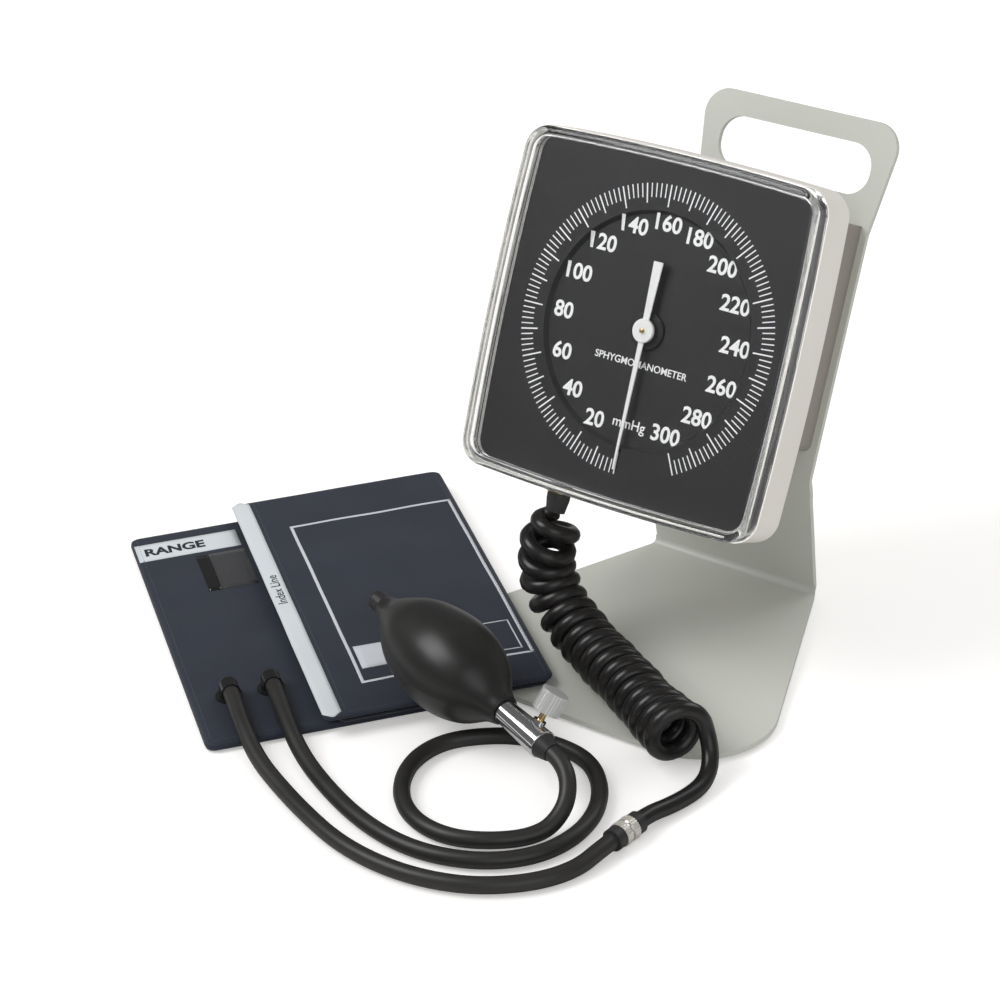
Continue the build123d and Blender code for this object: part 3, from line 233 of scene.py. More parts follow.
def metal(name, colour, roughness, brushed=None):
    """Machined or plated metal; brushed gives the stretch of its fine lines."""
    material = new_material(name, colour, roughness, 1.0)
    if brushed:
        lines = texture_node(material, "ShaderNodeTexNoise", stretch=brushed, Scale=400.0, Detail=3.0)
    else:
        lines = texture_node(material, "ShaderNodeTexNoise", Scale=120.0, Detail=3.0)
    roughen_by(material, lines, max(roughness - 0.04, 0.02), roughness + 0.08)
    bump_by(material, lines, 0.01, 0.25)
    return material


def knurled(name, colour, pitch_mm):
    """Plated metal with a fine diamond knurl."""
    material = new_material(name, colour, 0.36, 0.72)
    scale = 1 / (pitch_mm * MM) / 6.28
    for turn in (0.78, -0.78):
        wave = texture_node(material, "ShaderNodeTexWave", turn=(0.4, turn, turn), Scale=scale,
                            wave_profile="TRI")
        bump_by(material, wave, 0.06, 0.5)
    return material


def woven(name, colour, light, thread_mm, sheen=0.25, roughness=0.62, relief=0.06):
    """Plain weave: two crossed sets of threads on the piece's own UV map, which is in metres."""
    material = new_material(name, colour, roughness, **{"Sheen Weight": sheen, "Sheen Roughness": 0.45})
    nodes, links = material.node_tree.nodes, material.node_tree.links
    scale = 1 / (thread_mm * MM) / 6.2832 * 3.1416
    warp = texture_node(material, "ShaderNodeTexWave", "UV", Scale=scale, bands_direction="X")
    weft = texture_node(material, "ShaderNodeTexWave", "UV", Scale=scale, bands_direction="Y")
    cross = nodes.new("ShaderNodeMath")
    cross.operation = "MULTIPLY"
    links.new(value_of(warp), cross.inputs[0])
    links.new(value_of(weft), cross.inputs[1])
    cloud = texture_node(material, "ShaderNodeTexNoise", Scale=30.0, Detail=5.0)
    tint_by(material, cloud, colour, light, 0.25, 0.85)
    bump = nodes.new("ShaderNodeBump")
    bump.inputs["Distance"].default_value = relief * MM
    bump.inputs["Strength"].default_value = 0.7
    links.new(cross.outputs[0], bump.inputs["Height"])
    links.new(bump.outputs["Normal"], nodes["Principled BSDF"].inputs["Normal"])
    crease = texture_node(material, "ShaderNodeTexNoise", Scale=22.0, Detail=4.0)
    bump_by(material, crease, 0.5, 0.5)
    return material


def clear_plastic():
    """Clear moulding that lets the light through to what is behind it."""
    material = new_material("clear_acrylic", (1, 1, 1), 0.015, **{"Transmission Weight": 1.0, "IOR": 1.46,
                                                                  "Specular IOR Level": 0.16})
    nodes, links = material.node_tree.nodes, material.node_tree.links
    light = nodes.new("ShaderNodeLightPath")
    through = nodes.new("ShaderNodeBsdfTransparent")
    through.inputs["Color"].default_value = (0.96, 0.97, 0.97, 1)
    mix = nodes.new("ShaderNodeMixShader")
    links.new(light.outputs["Is Shadow Ray"], mix.inputs["Fac"])
    links.new(nodes["Principled BSDF"].outputs["BSDF"], mix.inputs[1])
    links.new(through.outputs["BSDF"], mix.inputs[2])
    links.new(mix.outputs["Shader"], nodes["Material Output"].inputs["Surface"])
    return material


ENAMEL = painted("stand_enamel", (0.575, 0.585, 0.535), (0.55, 0.56, 0.51), 0.36)
HOUSING = moulded("warm_white_housing", (0.80, 0.77, 0.72), (0.77, 0.74, 0.69), 0.34)
BIN = moulded("taupe_moulding", (0.30, 0.28, 0.245), (0.27, 0.25, 0.22), 0.5, 0.04)
DIAL_BLACK = moulded("dial_satin_black", (0.005, 0.0045, 0.0058), (0.007, 0.0063, 0.008), 0.5, 0.003)
PRINT = painted("dial_print_white", (0.95, 0.95, 0.94), (0.92, 0.92, 0.92), 0.5)
NEEDLE_WHITE = painted("pointer_enamel", (0.88, 0.88, 0.87), (0.84, 0.84, 0.83), 0.35)
CLEAR = clear_plastic()
SEAL = rubber("clear_seal_rubber", (0.5, 0.5, 0.48), (0.55, 0.55, 0.53), 0.5)
HOSE_RUBBER = rubber("hose_rubber", (0.020, 0.019, 0.018), (0.030, 0.028, 0.027), 0.42, 0.05)
COIL_RUBBER = rubber("coil_rubber", (0.012, 0.011, 0.0105), (0.018, 0.0165, 0.016), 0.30, 0.06)
BULB_RUBBER = rubber("bulb_rubber", (0.013, 0.0125, 0.012), (0.020, 0.019, 0.018), 0.36, 0.05, 0.04)
BLACK_RUBBER = rubber("moulded_black_rubber", (0.02, 0.02, 0.02), (0.03, 0.03, 0.03), 0.45)
PAD_RUBBER = rubber("pad_rubber", (0.05, 0.05, 0.05), (0.07, 0.07, 0.07), 0.7)
GLOSS_BLACK = moulded("gloss_black_plastic", (0.010, 0.010, 0.010), (0.014, 0.014, 0.014), 0.14, 0.005)
CHROME = metal("bright_chrome", (0.82, 0.82, 0.83), 0.07)
KNURL = knurled("knurled_chrome", (0.80, 0.80, 0.80), 0.5)
RING_KNURL = knurled("knurled_ring", (0.86, 0.83, 0.77), 0.5)
STEEL = metal("plated_steel", (0.60, 0.60, 0.60), 0.25, (1, 1, 12))
BRASS = metal("machined_brass", (0.72, 0.52, 0.25), 0.24, (1, 12, 1))
BRONZE = metal("rolled_bronze", (0.62, 0.40, 0.22), 0.30, (12, 1, 1))
NYLON = woven("navy_nylon", (0.0085, 0.0135, 0.028), (0.013, 0.020, 0.038), 0.55, 0.16)
NYLON_DARK = woven("navy_binding", (0.008, 0.012, 0.024), (0.012, 0.018, 0.032), 0.5, 0.3, 0.7)
TAPE = woven("pale_tape", (0.58, 0.62, 0.65), (0.64, 0.68, 0.70), 0.4, 0.1, 0.55, 0.03)
LABEL_INK = woven("pale_label_ink", (0.52, 0.54, 0.58), (0.60, 0.62, 0.66), 0.55, 0.0, 0.6, 0.03)
LABEL_TEXT = painted("label_dark_ink", (0.02, 0.024, 0.035), (0.025, 0.03, 0.04), 0.6)
MESH_CLOTH = woven("black_mesh", (0.018, 0.019, 0.022), (0.035, 0.036, 0.04), 1.1, 0.2, 0.5, 0.2)
LOOP = woven("loop_fastener", (0.012, 0.018, 0.034), (0.03, 0.04, 0.06), 1.3, 0.6, 0.9, 0.4)
THREAD = woven("navy_thread", (0.03, 0.04, 0.07), (0.04, 0.05, 0.08), 0.3, 0.2, 0.6, 0.02)

FINISH = {
    "stand_plate": ENAMEL, "base_pad": PAD_RUBBER, "storage_bin": BIN, "head_screws": STEEL,
    "bin_screws": STEEL, "bin_nuts": STEEL, "gauge_housing": HOUSING, "gauge_lens": CLEAR,
    "lens_gasket": SEAL, "dial_plate": DIAL_BLACK, "pointer": NEEDLE_WHITE, "pinion_arbor": BRASS,
    "hairspring": BRONZE, "sector_gear": BRASS, "sector_arbor": STEEL, "rocker_shaft": STEEL,
    "push_pin": STEEL, "pressure_capsule": BRONZE, "movement_base": BRASS, "movement_screws": STEEL,
    "movement_pillars": BRASS, "movement_top_plate": BRASS, "pillar_screws": STEEL,
    "pinion_bridge": BRASS, "inlet_block": BRASS, "pressure_tube": BRONZE, "inlet_nipple": BRASS,
    "hose_strain_relief": BLACK_RUBBER, "connector_female": RING_KNURL, "connector_male": RING_KNURL,
    "connector_collar": CHROME, "connector_sleeves": BLACK_RUBBER, "cuff_bladder": BLACK_RUBBER,
    "port_elbows": GLOSS_BLACK, "tail_valve": BLACK_RUBBER, "tail_check_ball": STEEL,
    "release_valve_body": CHROME, "valve_hose_boot": BLACK_RUBBER, "outlet_check_disc": SEAL,
    "needle_stem": BRASS, "release_knob": KNURL,
}


def finish_nodes():
    """Give every CAD node that stays its own finish."""
    for node, material in FINISH.items():
        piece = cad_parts[node]
        piece.data.materials.clear()
        piece.data.materials.append(material)


# ---------------------------------------------------------------- dial print
def scale_angle(value):
    """Degrees clockwise from straight down for a reading."""
    return value * SCALE_SWEEP / SCALE_TOP


def dial_ticks():
    """Flat bars on the scale ring: each runs along its radius between two circles, half a width each side."""
    readings = np.arange(0, SCALE_TOP + 1, 2)
    angle = np.radians(scale_angle(readings))
    long_one = readings % 10 == 0
    inner = np.where(readings % 20 == 0, 53.4, np.where(long_one, 54.6, 57.0))
    half = np.where(long_one, 0.30, 0.24)
    along = np.stack([-np.sin(angle), -np.cos(angle)], -1)
    across = np.stack([-along[:, 1], along[:, 0]], -1)
    corners = []
    for radius, side in ((inner, -1), (inner, 1), (np.full(len(angle), 63.0), 1),
                         (np.full(len(angle), 63.0), -1)):
        corners.append(along * radius[:, None] + across * (side * half)[:, None])
    flat = np.stack(corners, 1)
    top = head_point(flat[..., 0], flat[..., 1], np.full(flat.shape[:2], 0.10))
    low = head_point(flat[..., 0], flat[..., 1], np.full(flat.shape[:2], 0.01))
    points = np.concatenate([top, low], 1)
    base = np.arange(len(readings))[:, None, None] * 8
    box = np.array([[3, 2, 1, 0], [4, 5, 6, 7], [0, 1, 5, 4], [1, 2, 6, 5], [2, 3, 7, 6], [3, 0, 4, 7]])
    piece = make_piece("dial_ticks", points.reshape(-1, 3), (base + box).reshape(-1, 4), smooth=False)
    piece.data.materials.append(PRINT)


def lettering(name, body, size, x, y, place, material, depth=0.05, bold=0.0, turn=0.0):
    """Text turned into a mesh and laid on a surface by the place function (x, y, z)."""
    curve = bpy.data.curves.new(name, "FONT")
    curve.body = body
    curve.size = size
    curve.align_x = "CENTER"
    curve.align_y = "CENTER"
    curve.extrude = depth
    curve.offset = bold
    curve.resolution_u = 4
    text = bpy.data.objects.new(name + "_text", curve)
    bpy.context.scene.collection.objects.link(text)
    mesh = bpy.data.meshes.new_from_object(text.evaluated_get(bpy.context.evaluated_depsgraph_get()))
    bpy.data.objects.remove(text)
    points = np.empty(len(mesh.vertices) * 3)
    mesh.vertices.foreach_get("co", points)
    points = points.reshape(-1, 3)
    c, s = math.cos(turn), math.sin(turn)
    px, py = points[:, 0] * c - points[:, 1] * s, points[:, 0] * s + points[:, 1] * c
    world = place(x + px, y + py, points[:, 2]) * MM
    mesh.vertices.foreach_set("co", world.ravel())
    mesh.update()
    piece = bpy.data.objects.new(name, mesh)
    bpy.context.scene.collection.objects.link(piece)
    piece.data.materials.clear()
    piece.data.materials.append(material)
    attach(piece, ROOT)
    return piece


def dial_numbers():
    rise = lambda x, y: np.clip((np.hypot(x, y) - DISH_FLOOR) / DISH_SLOPE, 0, 1)
    dish = lambda x, y, z: head_point(x, y, z - DISH_DEPTH * (1 - rise(x, y)) + 0.07)
    for reading in range(20, SCALE_TOP + 1, 20):
        angle = math.radians(scale_angle(reading))
        lettering(f"dial_number_{reading}", str(reading), 9.8, -math.sin(angle) * NUMBER_ACROSS,
                  -math.cos(angle) * NUMBER_UP, dish, PRINT, bold=0.22)
    lettering("dial_unit", "mmHg", 6.2, 1.0, -41.0, dish, PRINT, bold=0.05)
    lettering("dial_word", "SPHYGMOMANOMETER", 4.4, 0.3, -15.0, dish, PRINT, bold=0.05)


def hub_cap():
    """Brass pin end on the pointer's hub: a low dome, height falling with the square of the radius."""
    radius = np.linspace(0, 1.15, 8)[:, None]
    angle = np.linspace(0, 2 * np.pi, 24, endpoint=False)[None, :]
    height = 2.95 + 0.35 * (1 - (radius / 1.15) ** 2) + 0 * angle
    points = head_point(radius * np.cos(angle), radius * np.sin(angle), height).reshape(-1, 3)
    piece = make_piece("pointer_pin_cap", points, grid_faces(8, 24, True), "pointer_set")
    piece.data.materials.append(BRASS)


# ---------------------------------------------------------------- hoses
def middle_line(curve):
    """Points, in metres, of a curve that has no thickness."""
    probe = bpy.data.objects.new("line_probe", curve)
    bpy.context.scene.collection.objects.link(probe)
    mesh = bpy.data.meshes.new_from_object(probe.evaluated_get(bpy.context.evaluated_depsgraph_get()))
    points = np.empty(len(mesh.vertices) * 3)
    mesh.vertices.foreach_get("co", points)
    bpy.data.objects.remove(probe)
    return points.reshape(-1, 3)


def route_points(route, count):
    """Evenly spaced points along the smooth line whose control points are the route."""
    points = middle_line(smooth_line("route_probe", route, 0))
    steps = np.concatenate([[0], np.cumsum(np.linalg.norm(np.diff(points, axis=0), axis=1))])
    wanted = np.linspace(0, steps[-1], count)
    return np.stack([np.interp(wanted, steps, points[:, k]) for k in range(3)], -1) / MM


def smooth_line(name, route, diameter, resolution=8):
    """Open curve of order three through the route's ends, with the route as its control points."""
    curve = bpy.data.curves.new(name, "CURVE")
    curve.dimensions = "3D"
    curve.resolution_u = resolution
    curve.render_resolution_u = resolution
    curve.bevel_depth = 1.0 if diameter else 0.0
    curve.bevel_resolution = 6
    curve.use_fill_caps = True
    spline = curve.splines.new("NURBS")
    route = np.asarray(route, float) * MM
    spline.points.add(len(route) - 1)
    spline.points.foreach_set("co", np.c_[route, np.ones(len(route))].ravel())
    spline.points.foreach_set("radius", np.full(len(route), max(diameter, 0.1) / 2 * MM))
    spline.order_u = 3
    spline.use_endpoint_u = True
    return curve


def hose_piece(name, route, material, resolution=8):
    curve = smooth_line(name, route, HOSE, resolution)
    piece = bpy.data.objects.new(name, curve)
    bpy.context.scene.collection.objects.link(piece)
    curve.materials.append(material)
    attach(piece, ROOT)
    return piece


def line_length(piece):
    """Length of a hose's middle line, in metres."""
    curve = piece.data.copy()
    curve.bevel_depth = 0
    return float(np.linalg.norm(np.diff(middle_line(curve), axis=0), axis=1).sum())


BASE_TOP = 4.0
COIL_CLEAR = 0.3
COIL_OUTSIDE = 27.4
COIL_REST = BASE_TOP + COIL_CLEAR + COIL_OUTSIDE / 2
HOUSING_LOW = -77.6
TUBE_OUT = 2.0
SLEEVE_LENGTH = 9.0
SLEEVE_END = HOUSING_LOW - TUBE_OUT - SLEEVE_LENGTH
INLET = (-31.0, -10.0)
CONNECTOR = np.array([77.6, -132.5, 5.6])
HEADING = np.array([-0.08, -0.997, 0.0]) / math.hypot(0.08, 0.997)
REACH = 0.8 + 3.2 + 4.5
END_RUN = 7.0
VALVE_RUN = 10.0
VALVE_HOSE_START = 27.0 + 6.0
CUFF_PORT = -39.9
BULB_PORT = -21.1


def coil_axis():
    start = head_point(INLET[0], SLEEVE_END, INLET[1])
    lead = head_point(INLET[0], SLEEVE_END - 12.0, INLET[1])
    return [start, lead, (-34.5, -28.5, 46.5), (-31.5, -29.5, 34.0), (-20.0, -33.0, 23.5),
            (1.0, -41.5, COIL_REST), (36.0, -60.5, COIL_REST), (70.0, -80.2, COIL_REST)]


AXIS_STEPS = 600
POINTS_PER_TURN = 14
COIL_TURNS = 18
COIL_RADIUS = (COIL_OUTSIDE - HOSE) / 2
COIL_END = np.array([0.501, 0.865, 0.0])
OPEN_TURNS = 5.0
OPEN_GROWTH = 2.3


def coil_points():
    """Helix about the coil's bent axis: each point lies one coil radius from the axis, in a frame carried
    along it, at an angle that ends on the right side heading down. The radius grows from the inlet over
    the first half turn and again, by the square of the share, over the last turns, whose axis rises by
    as much so that they still rest on the base."""
    count = COIL_TURNS * POINTS_PER_TURN + 1
    axis = route_points(coil_axis(), AXIS_STEPS)
    tangent = np.gradient(axis, axis=0)
    tangent /= np.linalg.norm(tangent, axis=1)[:, None]
    side = np.empty_like(axis)
    side[0] = np.cross(tangent[0], [0, 0, 1.0])
    side[0] /= np.linalg.norm(side[0])
    for k in range(1, len(axis)):
        side[k] = side[k - 1] - tangent[k] * (side[k - 1] @ tangent[k])
        side[k] /= np.linalg.norm(side[k])
    up = np.cross(tangent, side)
    last = math.atan2(COIL_END @ up[-1], COIL_END @ side[-1])
    heading = up[-1] * math.cos(last) - side[-1] * math.sin(last)
    sense = 1.0 if heading[2] < 0 else -1.0
    turn = np.linspace(0.3, COIL_TURNS, count)
    share = turn / COIL_TURNS
    place = share * 0.93 + 0.07 * (1 - (1 - share) ** 3)
    index = place * (len(axis) - 1)
    at = lambda field: np.stack([np.interp(index, np.arange(len(axis)), field[:, k]) for k in range(3)], -1)
    angle = last - sense * 2 * np.pi * (COIL_TURNS - turn)
    wobble = 0.25 * np.sin(turn * 2.1) + 0.2 * np.sin(turn * 5.3 + 1)
    grown = OPEN_GROWTH * np.clip((turn - COIL_TURNS + OPEN_TURNS) / OPEN_TURNS, 0, 1) ** 2
    radius = COIL_RADIUS * np.clip(turn / 0.6, 0, 1) - 0.35 + wobble * np.clip(turn / 2, 0, 1) + grown
    centre = at(axis) + np.multiply.outer(grown, [0, 0, 1.0])
    return centre + at(side) * (radius * np.cos(angle))[:, None] + at(up) * (radius * np.sin(angle))[:, None]


def connector_at(distance):
    return CONNECTOR + HEADING * distance


TAIL_ROUTE = [(79.6, -71.6, 12.4), (83.2, -77.8, 6.6), (84.8, -86.0, 4.1), (84.0, -96.0, HOSE_REST),
              (81.4, -107.0, 4.2)]
CUFF_HOSE_ROUTE = [(74.6, -163.0, HOSE_REST), (65.5, -179.5, HOSE_REST), (48.0, -194.0, HOSE_REST),
                   (28.0, -201.5, HOSE_REST), (6.0, -203.8, HOSE_REST), (-18.0, -200.8, HOSE_REST),
                   (-43.0, -191.8, HOSE_REST), (-65.0, -182.0, HOSE_REST), (-84.0, -173.0, 5.2),
                   (-102.0, -161.0, 8.8)]
BULB_HOSE_ROUTE = [(-87.5, -148.5, 8.8), (-69.0, -161.0, 5.0), (-46.0, -172.8, HOSE_REST),
                   (-20.5, -183.2, HOSE_REST), (4.0, -188.0, HOSE_REST), (25.0, -185.6, HOSE_REST),
                   (43.5, -177.0, HOSE_REST), (56.5, -163.0, HOSE_REST), (61.5, -145.0, HOSE_REST),
                   (59.0, -126.0, HOSE_REST), (49.5, -109.0, HOSE_REST), (35.0, -96.5, HOSE_REST),
                   (17.0, -93.5, HOSE_REST), (-1.5, -97.0, HOSE_REST), (-15.5, -106.0, HOSE_REST),
                   (-26.5, -118.5, HOSE_REST), (-29.0, -135.5, HOSE_REST), (-23.0, -152.5, HOSE_REST),
                   (-11.0, -166.0, HOSE_REST), (4.5, -173.0, HOSE_REST), (21.0, -172.6, HOSE_REST),
                   (35.5, -165.0, HOSE_REST), (45.5, -155.5, HOSE_REST), (50.8, -146.0, 5.8),
                   (51.2, -134.5, 12.5)]
FRONT_TOP = 3.9
PORT_RISE = 5.6
PORT_OUT = 158.0 + 6.0


def port_outlet(b, distance=0.0):
    return cuff_point(PORT_OUT + distance, b, FRONT_TOP + PORT_RISE)


def valve_at(distance):
    axis = (BULB_TAIL - BULB_NECK) / np.linalg.norm(BULB_TAIL - BULB_NECK)
    return BULB_NECK - axis * distance


def hoses():
    """The coiled hose with its tail, the hose to the cuff, and the hose to the bulb."""
    start = head_point(INLET[0], SLEEVE_END, INLET[1])
    route = [start] + list(coil_points()) + TAIL_ROUTE + [connector_at(-REACH - END_RUN), connector_at(-REACH)]
    piece = hose_piece("coiled_hose_line", route, COIL_RUBBER, 3)
    piece.data.bevel_resolution = 4
    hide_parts("coiled_hose", "coiled_hose_tail")
    line_length(piece)
    route = ([connector_at(REACH), connector_at(REACH + END_RUN)] + CUFF_HOSE_ROUTE
             + [port_outlet(CUFF_PORT, END_RUN), port_outlet(CUFF_PORT)])
    piece = hose_piece("cuff_hose_line", route, HOSE_RUBBER)
    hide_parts("cuff_hose")
    line_length(piece)
    route = ([port_outlet(BULB_PORT), port_outlet(BULB_PORT, END_RUN)] + BULB_HOSE_ROUTE
             + [valve_at(VALVE_HOSE_START + VALVE_RUN), valve_at(VALVE_HOSE_START)])
    piece = hose_piece("bulb_hose_line", route, HOSE_RUBBER)
    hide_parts("bulb_hose")
    line_length(piece)


# ---------------------------------------------------------------- bulb
def squeeze_bulb():
    """Surface of revolution about the bulb's axis. The radius follows a smooth curve through the
    profile's stations; a fine raised parting line runs along two opposite sides."""
    from_neck = np.array([0, 0.05, 0.21, 0.34, 0.46, 0.59, 0.73, 0.85, 0.94, 1.0])
    size = np.array([0.302, 0.37, 0.79, 0.96, 1.0, 0.94, 0.79, 0.54, 0.31, 0.2207]) * BULB_RADIUS
    length = np.linalg.norm(BULB_TAIL - BULB_NECK)
    axis = (BULB_TAIL - BULB_NECK) / length
    side = np.cross(axis, [0, 0, 1.0])
    side /= np.linalg.norm(side)
    top = np.cross(side, axis)
    rows, columns = 120, 144
    t = np.linspace(0, 1, rows)
    slope = np.gradient(size, from_neck)
    k = np.clip(np.searchsorted(from_neck, t) - 1, 0, len(size) - 2)
    h = from_neck[k + 1] - from_neck[k]
    s = (t - from_neck[k]) / h
    radius = ((2 * s**3 - 3 * s**2 + 1) * size[k] + (s**3 - 2 * s**2 + s) * h * slope[k]
              + (3 * s**2 - 2 * s**3) * size[k + 1] + (s**3 - s**2) * h * slope[k + 1])
    along = t * (length - 8.0)
    angle = np.linspace(0, 2 * np.pi, columns, endpoint=False)
    seam = 0.09 * np.exp(-((np.abs(np.sin(angle))) / 0.02) ** 2)
    r = radius[:, None] + seam[None, :] * np.clip(radius[:, None] / BULB_RADIUS, 0.3, 1)
    outer = (BULB_NECK + along[:, None, None] * axis + r[..., None]
             * (np.cos(angle)[None, :, None] * side + np.sin(angle)[None, :, None] * top))
    inner_r = np.maximum(radius - 2.4, 2.2)[:, None, None]
    inner = (BULB_NECK + along[:, None, None] * axis + inner_r
             * (np.cos(angle)[None, :, None] * side + np.sin(angle)[None, :, None] * top))
    count = rows * columns
    ring = np.arange(columns)
    nxt = (ring + 1) % columns
    rim_low = np.stack([ring, ring + count, nxt + count, nxt], -1)
    last = (rows - 1) * columns
    rim_high = np.stack([ring + last, nxt + last, nxt + last + count, ring + last + count], -1)
    faces = np.concatenate([grid_faces(rows, columns, True), grid_faces(rows, columns, True, count, True),
                            rim_low, rim_high])
    piece = make_piece("squeeze_bulb_skin", np.concatenate([outer.reshape(-1, 3), inner.reshape(-1, 3)]), faces)
    piece.data.materials.append(BULB_RUBBER)
    close_mesh(piece)
    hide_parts("squeeze_bulb")


# ---------------------------------------------------------------- cuff
def ripple(a, b, seed, amount):
    """Slow creases: a few plane waves of random heading and length added together."""
    local = np.random.default_rng(seed)
    total = np.zeros(np.broadcast(a, b).shape)
    for _ in range(7):
        heading = local.uniform(0, np.pi)
        length = local.uniform(28, 95)
        phase = local.uniform(0, 6.28)
        total += np.sin((a * np.cos(heading) + b * np.sin(heading)) * 6.283 / length + phase) / 7
    return total * amount


def cloth_layer(name, a0, a1, b0, b1, low, high, corner, seed, material, crown=0.0, crease=0.4,
                edge=3.0, limit=None):
    """Closed thin layer on a grid. Its outline is a rectangle with round corners; its faces close to a
    rounded edge by the fourth root of one less the fourth power of the distance to the rim; slow creases
    and a low crown are added to the top and, less, to the underside."""
    rows, columns = 110, 90
    s = np.linspace(-1, 1, rows)
    t = np.linspace(-1, 1, columns)
    s = np.sign(s) * (1 - (1 - np.abs(s)) ** 1.25)
    t = np.sign(t) * (1 - (1 - np.abs(t)) ** 1.25)
    ss, tt = np.meshgrid(s, t, indexing="ij")
    half_a, half_b = (a1 - a0) / 2, (b1 - b0) / 2
    rim_b = half_b - np.abs(tt) * half_b
    inset = corner - np.sqrt(np.maximum(corner**2 - np.maximum(corner - rim_b, 0) ** 2, 0))
    a = (a0 + a1) / 2 + ss * (half_a - inset)
    b = (b0 + b1) / 2 + tt * half_b
    if limit is not None:
        b = np.minimum(b, limit(a))
    out = np.maximum(np.abs(ss), np.abs(tt))
    reach = np.minimum((1 - np.abs(ss)) * half_a, (1 - np.abs(tt)) * half_b)
    close = np.clip(reach / edge, 0, 1)
    lift = (1 - (1 - close) ** 2.5) ** 0.5
    middle = (low + high) / 2
    wave = ripple(a, b, seed, crease)
    dome = crown * (1 - ss**2) * (1 - tt**2)
    top = middle + (high - middle) * lift + (wave + dome) * close
    bottom = middle - (middle - low) * lift + 0.35 * np.abs(wave) * close * (low > 1)
    ring = out >= 1 - 1e-9
    bottom = np.where(ring, top, bottom)
    upper = cuff_point(a, b, top).reshape(-1, 3)
    lower = cuff_point(a, b, np.maximum(bottom, -0.2)).reshape(-1, 3)
    count = rows * columns
    faces = np.concatenate([grid_faces(rows, columns), grid_faces(rows, columns, offset=count, flip=True)])
    piece = make_piece(name, np.concatenate([upper, lower]), faces)
    uv = np.stack([a, b], -1).reshape(-1, 2) * MM
    set_uv(piece, np.concatenate([uv, uv]))
    close_mesh(piece, 2e-6)
    piece.data.polygons.foreach_set("use_smooth", np.ones(len(piece.data.polygons), bool))
    piece.data.materials.append(material)
    return piece


BASE_FRONT = 73.0
BASE_DEPTH = 146.0
BASE_FRONT_HALF = 104.0
BASE_BACK_HALF = 42.8
BASE_CORNER = 34.0
UNDER_RIGHT = 89.5


def base_edge_limit(a):
    """Where the under layer stops short of the stand's base: the base's left edge is a straight line
    with a round front corner, and the layer ends a small gap before it."""
    b = np.linspace(-60, 95, 400)
    points = CUFF_AT[:2] + np.multiply.outer(a, CUFF_X[:2])[..., None, :] + np.multiply.outer(b, CUFF_Y[:2])
    x, y = points[..., 0], points[..., 1]
    slope = (BASE_FRONT_HALF - BASE_BACK_HALF) / BASE_DEPTH
    edge = -(BASE_BACK_HALF + (BASE_FRONT - y) * slope)
    normal = math.hypot(1, slope)
    left_gap = (x - edge) / normal
    front_gap = y + BASE_FRONT
    radius = BASE_CORNER
    u, v = radius - left_gap, radius - front_gap
    turned = math.pi - math.atan2(1, slope)
    round_gap = radius - np.sqrt(np.maximum(u, 0) ** 2 + np.maximum(v, 0) ** 2
                                 + 2 * np.maximum(u, 0) * np.maximum(v, 0) * math.cos(turned) * -0.2)
    gap = np.where((u > 0) & (v > 0), round_gap, np.minimum(left_gap, front_gap))
    inside = gap > -2.0
    first = np.where(inside.any(-1), b[inside.argmax(-1)], 95.0)
    return np.minimum(first, UNDER_RIGHT)


FLAP_TOP = 9.7


def flap_height(a, b):
    """Height of the label flap's top at a place, as cloth_layer gives it away from the rim."""
    ss, tt = (a - 99.5) / 99.5, (b - 45.75) / 51.75
    return FLAP_TOP + ripple(a, b, 21, 0.55) + 0.5 * (1 - ss**2) * (1 - tt**2)


def under_height(a, b):
    ss, tt = (a - 99.5) / 94.5, (b - 16.0) / 73.5
    return FRONT_TOP + ripple(a, b, 11, 0.45) + 0.6 * (1 - ss**2) * (1 - tt**2)


def strip_on(name, a0, a1, b0, b1, height, lift, material, round_end=0.0):
    """Thin strip that follows the cloth below it: a grid of points at the cloth's height plus its lift,
    with a rim that comes down to the cloth."""
    rows = max(int((a1 - a0) / 3), 8)
    columns = max(int((b1 - b0) / 3), 6)
    a = np.linspace(a0, a1, rows)[:, None]
    b = np.linspace(b0, b1, columns)[None, :]
    aa, bb = np.broadcast_arrays(a, b)
    aa, bb = aa.copy(), bb.copy()
    if round_end:
        middle, half = (b0 + b1) / 2, (b1 - b0) / 2
        for end, sign in ((a0, 1), (a1, -1)):
            dist = np.abs(aa - end)
            shrink = np.clip(dist / round_end, 0, 1)
            bb = middle + (bb - middle) * np.sqrt(np.maximum(1 - (1 - shrink) ** 2, 0.02))
    z = height(aa, bb)
    rim = np.zeros_like(z, bool)
    rim[[0, -1], :] = True
    rim[:, [0, -1]] = True
    top = z + np.where(rim, lift * 0.3, lift)
    low = z - 0.15
    count = rows * columns
    points = np.concatenate([cuff_point(aa, bb, top).reshape(-1, 3), cuff_point(aa, bb, low).reshape(-1, 3)])
    edge = np.concatenate([np.arange(columns), np.arange(1, rows) * columns + columns - 1,
                           (rows - 1) * columns + np.arange(columns - 2, -1, -1),
                           np.arange(rows - 2, 0, -1) * columns])
    after = np.roll(edge, -1)
    wall = np.stack([edge, edge + count, after + count, after], -1)
    faces = np.concatenate([grid_faces(rows, columns), grid_faces(rows, columns, offset=count, flip=True), wall])
    piece = make_piece(name, points, faces)
    uv = np.stack([aa, bb], -1).reshape(-1, 2) * MM
    set_uv(piece, np.concatenate([uv, uv]))
    close_mesh(piece)
    piece.data.materials.append(material)
    return piece


